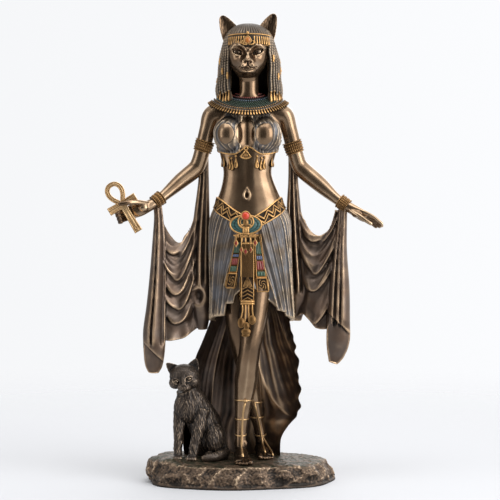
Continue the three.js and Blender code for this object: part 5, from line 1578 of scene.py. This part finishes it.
disc = join("sun_disc", [ball((3.7, -16.8, 148.2), (2.1, 1.2, 2.1), segments=32, rings=20)])
wear_and_shade(disc, start=0.6)
bright_red = enamel("sun red gloss enamel", "#b53a22", "#4a130b", gloss=0.22)
dress(disc, bright_red, keep=1)
lozenges = join("buckle_lozenges", stones)
wear_and_shade(lozenges, near=0.05, far=0.25, rounds=(1, 3), start=0.5)
dress(lozenges, red_paint, keep=1)


# Hanging bands: a broad netted band down the middle with a lotus at its foot, strings and a tassel below it,
# and at each side a ribbon of enamelled squares that ends in a gold panel. Relief, painted on the casting.
def on_hips(x, z, off):
    """Points at the front of the overskirt at these places, raised off it."""
    rows = spread(hip_rows, 200)
    cx, cy, half, front = (np.interp(z, rows[:, 0], rows[:, i]) for i in (1, 2, 3, 4))
    share = np.clip((x - cx) / (half + off), -0.99, 0.99)
    return np.stack([x + 0 * z, cy - (front + off) * np.sqrt(1 - share ** 2), z + 0 * x], axis=-1)


def ribbon(name, edges, low, high, steps, off, pattern, sides=24):
    """A band on the skirt between two edges that run down it. pattern(s, z), s from -1 to 1, raises it."""
    z = np.linspace(low, high, steps)[:, None]
    (left_top, right_top), (left_low, right_low), (top_z, low_z) = edges
    down = (top_z - z) / (top_z - low_z)
    left, right = left_top + (left_low - left_top) * down, right_top + (right_low - right_top) * down
    s = np.linspace(-1, 1, sides)[None, :]
    x = (left + right) / 2 + (right - left) / 2 * s
    return shell(name, on_hips(x, z, off + pattern(s, z)), thick=1.5)


# Each ribbon's edges: x at its top, x at its foot, and the heights of both.
left_edges = ((-3.2, 1.0), (-7.4, -2.6), (129.3, 108.6))
right_edges = ((8.9, 12.6), (9.9, 16.6), (129.3, 106.6))


def framed(s, z):
    return 0.3 * smooth(0.78, 0.88, np.abs(s)) + 0 * z


def pillow(s, z):
    return 0.12 * np.cos(s * 9) - 0.25 * smooth(0.9, 1, np.abs(s))


def panel(low, high):
    """Raised scrolls and a frame, as on the gold squares at the ribbons' ends."""
    def raised(s, z):
        t = (z - low) / (high - low) * 2 - 1
        frame_line = np.maximum(smooth(0.76, 0.86, np.abs(s)), smooth(0.78, 0.88, np.abs(t)))
        far = np.hypot(s, t)
        spiral = np.abs(np.sin(7 * far + 2 * np.arctan2(t, s)) * 0.5)
        return 0.45 * np.maximum(frame_line, 0.8 * (smooth(0.3, 0.12, spiral) * smooth(0.8, 0.7, far)))
    return raised


bands_gold = [
    ribbon("left ribbon", left_edges, 116.6, 138, 60, off=1.0, pattern=framed),
    ribbon("right ribbon", right_edges, 114.2, 138, 60, off=1.0, pattern=framed),
    ribbon("left panel", left_edges, 108.4, 116.6, 40, off=1.1, pattern=panel(108.4, 116.6), sides=36),
    ribbon("right panel", right_edges, 106.4, 114.2, 40, off=1.1, pattern=panel(106.4, 114.2), sides=36),
]
blue_paint = enamel("lapis blue enamel", "#424e6c", "#151a26")
for name, paint, blocks in (
        ("ribbon_green", green_paint, ((left_edges, 127.5, 134), (left_edges, 117.2, 120.6),
                                       (right_edges, 126.8, 134), (right_edges, 114.7, 117.8))),
        ("ribbon_blue", blue_paint, ((left_edges, 125.4, 127.2), (right_edges, 124.0, 126.4))),
        ("ribbon_red", red_paint, ((left_edges, 121.1, 124.9), (right_edges, 118.4, 123.5)))):
    squares = []
    for edges, low, high in blocks:
        (left_top, right_top), (left_low, right_low), heights = edges
        inset = ((left_top + 0.45, right_top - 0.45), (left_low + 0.5, right_low - 0.5), heights)
        squares.append(ribbon("square", inset, low + 0.25, high - 0.25, 12, 1.35, pillow, sides=22))
    squares = join(name, squares)
    wear_and_shade(squares, near=0.05, far=0.2, rounds=(1, 4), start=0.5)
    dress(squares, paint)

# The netted band from its foot up: chevrons, the lotus with its petals, and then the net.
LOTUS_FOOT, LOTUS_TOP = 109, 114.5
net_z = np.linspace(101.6, 133, 150)[:, None]
net_s = np.linspace(-1, 1, 44)[None, :]
aside = np.abs(net_s)
net_x = 4.75 + 3.5 * net_s
edge_rim = smooth(0.84, 0.9, aside)
net_lines = np.maximum(smooth(0.45, 0.85, np.abs(np.sin((net_x + net_z) * 2.9))),
                       smooth(0.45, 0.85, np.abs(np.sin((net_x - net_z) * 2.9))))
chevrons = smooth(0.25, 0.75, np.cos((net_z + 1.9 * aside) * 3.1)) * smooth(0.84, 0.78, aside)
flower = smooth(1.0, 0.85, aside / np.clip((115.2 - net_z) / 6.5, 0.05, 1))
petals = smooth(0.5, 0.85, np.abs(np.cos(net_s * 5.5 / (0.45 + (net_z - 108.5) * -0.06)))) * flower
pattern = np.where(net_z < LOTUS_FOOT, 0.36 * chevrons, np.where(net_z < LOTUS_TOP, 0.36 * petals, 0))
pattern = np.where(net_z > LOTUS_TOP, 0.2 * net_lines, pattern)
net_face = -15.9 - 0.5 * smooth(118, 104, net_z) - 0.25 * np.cos(net_s * 1.4)
net_y = net_face - np.maximum(0.4 * edge_rim, pattern)
net = np.stack([net_x + 0 * net_z, net_y, net_z + 0 * net_x], axis=-1)
bands_gold.append(shell("netted band", net, thick=1.8))
for level in (101.2, 100.0):
    foot_rim = [(1.0, -16.4, level), (4.75, -17.0, level), (8.5, -16.4, level)]
    bands_gold.append(tube("band foot", foot_rim, thick=0.62))
for x, foot_x, foot_z in ((2.0, 1.2, 92.4), (3.6, 3.3, 89.5), (5.3, 5.6, 90), (7.4, 7.8, 93.4)):
    string = [(x, -16.8, 99.6), (x, -17.6, 96), (foot_x, -18.2, foot_z)]
    bands_gold.append(tube("string", string, thick=0.42, sides=8, steps=24))
# The tassel's knobs, each with a ring round its front.
for place, radii in (((1.3, -17.9, 89.6), (1.9, 1.2, 3.0)), ((7.2, -18.0, 91.2), (2.2, 1.3, 2.6)),
                     ((4.2, -18.4, 88.0), (1.5, 1.2, 2.0)), ((3.9, -18.2, 84.8), (2.6, 1.3, 1.9)),
                     ((3.7, -18.0, 82.9), (2.2, 1.1, 0.8))):
    bands_gold.append(ball(place, radii, segments=28, rings=20))
    bands_gold.append(flat_ring(np.array(place) + (0, -0.5, 0), radii[0] * 0.86, radii[2] * 0.86, thick=0.3))
bands_gold = join("hanging_bands_gold", bands_gold)
wear_and_shade(bands_gold, near=0.07, far=0.25, rounds=(2, 8), start=0.34)
dress(bands_gold, gold_finish, keep=0.5)


# Sitting cat: it grows out of the same rock at the goddess's right foot, upright on its front legs with its
# tail round its paws. The coat is cut with a fine point in short strokes and left darker than her skin.
fur_finish = bronze("dark cold-cast bronze fur", "#110e0c", "#3c332c", "#98846f",
                    metal=0.6, gloss=0.38, grit=0.1)
CAT_EYES = [(-34.6, 56.7), (-27.6, 58.2)]
CAT_NOSE_X = -30.2
cat_parts = [
    limb("trunk of cat", [[-15.2, 8, 12.5, 8.4, 8], [-16.4, 7.4, 20, 9.6, 10.2], [-19, 5, 30, 9.4, 9.8],
                          [-23.4, 1.4, 39, 8.4, 8.8], [-27, -1.6, 46, 7.4, 7.4],
                          [-29.6, -3.6, 52, 5.6, 5.6]], sides=48, steps=40),
    # The chest and the near haunch.
    ball((-28.8, -4.2, 41.4), (7.4, 6.2, 9.0)),
    ball((-14.4, 0.4, 23.6), (6.4, 8.8, 9.2)),
    limb("far leg", [[-32.6, -3.4, 39, 3.9], [-33.6, -6, 27, 2.9], [-33.8, -7.2, 18, 2.3],
                     [-34, -8.4, 13, 2.4]]),
    limb("near leg", [[-20.8, -4, 40, 4.3], [-22.6, -7.4, 29, 3.2], [-24.8, -9.4, 20, 2.5],
                      [-25.8, -10.6, 13, 2.6]]),
    limb("tail", [[-9.6, 11, 15, 3.0], [-7.8, 3, 15.2, 2.8], [-9, -5, 15.2, 2.7], [-13, -11.4, 15, 2.5],
                  [-18, -13.8, 14.6, 2.1], [-20.6, -14.4, 14.2, 1.2]], sides=20, steps=60),
    # The hind paw, the head, the muzzle and both cheeks.
    ball((-16.6, -6.6, 14.6), (2.8, 6, 2.4)),
    ball((-30.3, -5.8, 58.8), (8.3, 7.2, 7.0)),
    ball((-30.2, -11.4, 53.6), (3.9, 3.6, 2.7)),
    ball((-35.2, -7.6, 55.6), (3.6, 4.4, 3.6)),
    ball((-25.6, -7.6, 56.4), (3.8, 4.4, 3.6)),
    limb("nose of cat", [[-30.8, -10.8, 60.6, 1.8, 1.6], [-30.5, -12.8, 57.4, 1.3, 1.3],
                         [-30.2, -14.3, 54.8, 1.3, 1.0]], sides=16, steps=14),
]
for paw_x, paw_y in ((-34.2, -9.4), (-26.2, -11.8)):
    for step in (-1.5, -0.5, 0.5, 1.5):
        curve = 0.3 * abs(step)
        toe = [[paw_x + step * 1.05, paw_y + 0.8, 14.6, 1.0],
               [paw_x + step * 1.2, paw_y - 2.6 + curve, 14.0, 1.15],
               [paw_x + step * 1.2, paw_y - 3.7 + curve, 13.4, 0.8]]
        cat_parts.append(limb("cat toe", toe, sides=14, steps=10))
cat_ear_profile = [(share, 3.9 * wide, 2.2 * wide ** 0.7) for share, wide in (
    (-0.6, 1.15), (0, 1.0), (0.4, 0.76), (0.75, 0.4), (0.95, 0.12))]
for root, tip in (((-35.0, -5.0, 61.4), (-40.7, -5.4, 66.4)), ((-26.0, -5.0, 62.4), (-23.5, -5.4, 69.2))):
    cat_parts.append(ear("cat ear", root, tip, cat_ear_profile, wall=0.3, sides=32, steps=24))
cat = fuse("sitting_cat", cat_parts, voxel=0.34, rounds=3)


def cut_coat(points, normals):
    """Short strokes that run down the coat, and the eyes, nose and mouth of the face."""
    x, y, z = points.T
    on_head = smooth(49, 52, z)
    on_paw = smooth(17.5, 15, z)
    lean = points.copy()
    lean[:, 0] += 0.25 * z * np.sign(x + 29)
    strokes = grain(lean, (0.55, 0.9, 2.6)) + 0.6 * grain(points, (0.4, 0.5, 1.5), 7.3)
    tufts = grain(lean, (1.6, 2.2, 5.0), 3.1)
    depth = (0.34 * strokes + 0.4 * tufts) * (1 - on_head) * (1 - on_paw)
    depth += 0.2 * grain(points, (0.5, 0.6, 1.1), 5.0) * on_head
    front = smooth(0.1, 0.5, -normals[:, 1]) * on_head
    for side, (eye_x, eye_z) in zip((-1, 1), CAT_EYES):
        across = side * (x - eye_x)
        lid = np.hypot(across / 1.75, (z - eye_z - 0.2 * across) / 1.15)
        depth += front * (-0.55 * smooth(1.0, 0.7, lid) + 0.28 * bell(lid, 1.25, 0.22))
        nostril = np.hypot((x - CAT_NOSE_X - side * 0.75) / 0.4, (z - 54.2) / 0.3)
        depth += front * -0.3 * smooth(1.3, 0.5, nostril)
        from_nose = side * (x - CAT_NOSE_X)
        lip = 52.3 - 0.7 * np.sin(np.clip(from_nose / 3.2, 0, 1) * math.pi)
        depth += front * -0.4 * bell(z, lip, 0.28) * (from_nose > 0) * smooth(3.6, 2.8, from_nose)
    split = smooth(53.8, 53.3, z) * smooth(51.8, 52.2, z)
    depth += front * -0.35 * bell(x, CAT_NOSE_X, 0.25) * split
    return depth


press(cat, cut_coat)
wear_and_shade(cat, near=0.08, far=0.7, rounds=(3, 40), start=0.38)
dress(cat, fur_finish, keep=0.45)
cat_eyes = join("cat_eyes", [ball((x, -11.55, z), (1.5, 1.2, 1.0)) for x, z in CAT_EYES])
wear_and_shade(cat_eyes, start=0.1)
dress(cat_eyes, eye_finish, keep=1)


# Ankh: a casting of its own, glued under the thumb. A flat bar cross under a drop-shaped loop, with a groove
# along both edges of every bar. Antique gold paint over resin, dark in the grooves and along its sides.
ANKH_THICK, ANKH_LEAN = 3.0, math.radians(-31)
ANKH_PLACE = (-63.8, -13.6, 154.4)
ARM_LENGTH, STEM_LENGTH = 8.5, 17.3
ankh_gold = bronze("antique gold painted ankh", "#2a1d10", "#94734a", "#d8b78a",
                   metal=0.8, gloss=0.34, grit=0.02)
# The bar's section: places across it (-1 to 1) and how far each lies behind the front plane, in millimetres.
bar_section = [(-1, 2.7), (-1, 0.35), (-0.92, 0.04), (-0.74, 0), (-0.64, 0.4), (-0.42, 0.42), (-0.3, 0.12),
               (0, 0.02), (0.3, 0.12), (0.42, 0.42), (0.64, 0.4), (0.74, 0), (0.92, 0.04), (1, 0.35),
               (1, 2.7), (0.9, 3), (-0.9, 3)]


def bar(name, path, ends):
    """A bar along rows of x, z and half width, with a plain edge at both ends, or closed to a loop."""
    path = np.array(path, float)
    line = path[:, :2]
    along = unit(np.gradient(line, axis=0) if ends else np.roll(line, -1, axis=0) - np.roll(line, 1, axis=0))
    across_x, across_z = along[:, 1], -along[:, 0]
    points = []
    for k, (x, z, half) in enumerate(path):
        at_end = ends and (k < 2 or k > len(path) - 3)
        rows = [(a, min(b, 0.05) if at_end and 0 < b < 0.5 and abs(a) < 0.9 else b) for a, b in bar_section]
        points.append([(x + across_x[k] * a * half, b - ANKH_THICK / 2, z + across_z[k] * a * half)
                       for a, b in rows])
    return roll(name, np.array(points)) if ends else closed_ring(name, np.array(points))


half_loop = spread([[0.6, 0.3], [1.5, 2.2], [3.1, 4.8], [3.95, 7.6], [3.5, 10.2], [1.9, 11.9],
                    [0, 12.35]], 30)
drop = np.concatenate([half_loop, half_loop[-2::-1] * (-1, 1)])
loop_path = [[x, z, 1.3] for x, z in drop]
# The arms and the stem get broader towards their ends.
arms_path = [[x, 0, 1.9 + 0.35 * abs(x) / ARM_LENGTH]
             for x in (-8.5, -8.1, -7.8, -5.2, -2.6, 0, 2.6, 5.2, 7.8, 8.1, 8.5)]
stem_path = [[0, -17.3, 2.25], [0, -16.9, 2.25], [0, -16.2, 2.23]]
stem_path += [[0, z, 1.7 + 0.55 * abs(z) / STEM_LENGTH] for z in (-15.6, -12, -8, -4, -0.4)]
ankh_parts = [bar("loop", loop_path, ends=False), bar("arms", arms_path, ends=True),
              bar("stem", stem_path, ends=True)]
for part in ankh_parts:
    modify(part, "BEVEL", width=0.12 * MM, segments=2, limit_method="ANGLE", angle_limit=math.radians(35))
ankh_parts.append(flat_ring((0, -1.5, -14.9), 0.75, 0.75, thick=0.22, count=24))
ankh = join("ankh_detail", ankh_parts)
ankh.matrix_world = Matrix.Translation(Vector(ANKH_PLACE) * MM) @ Matrix.Rotation(ANKH_LEAN, 4, "Y")
ankh = join("ankh_detail", [ankh])
wear_and_shade(ankh, near=0.35, far=1.2, rounds=(1, 3), start=0.72)
dress(ankh, ankh_gold, node="ankh")
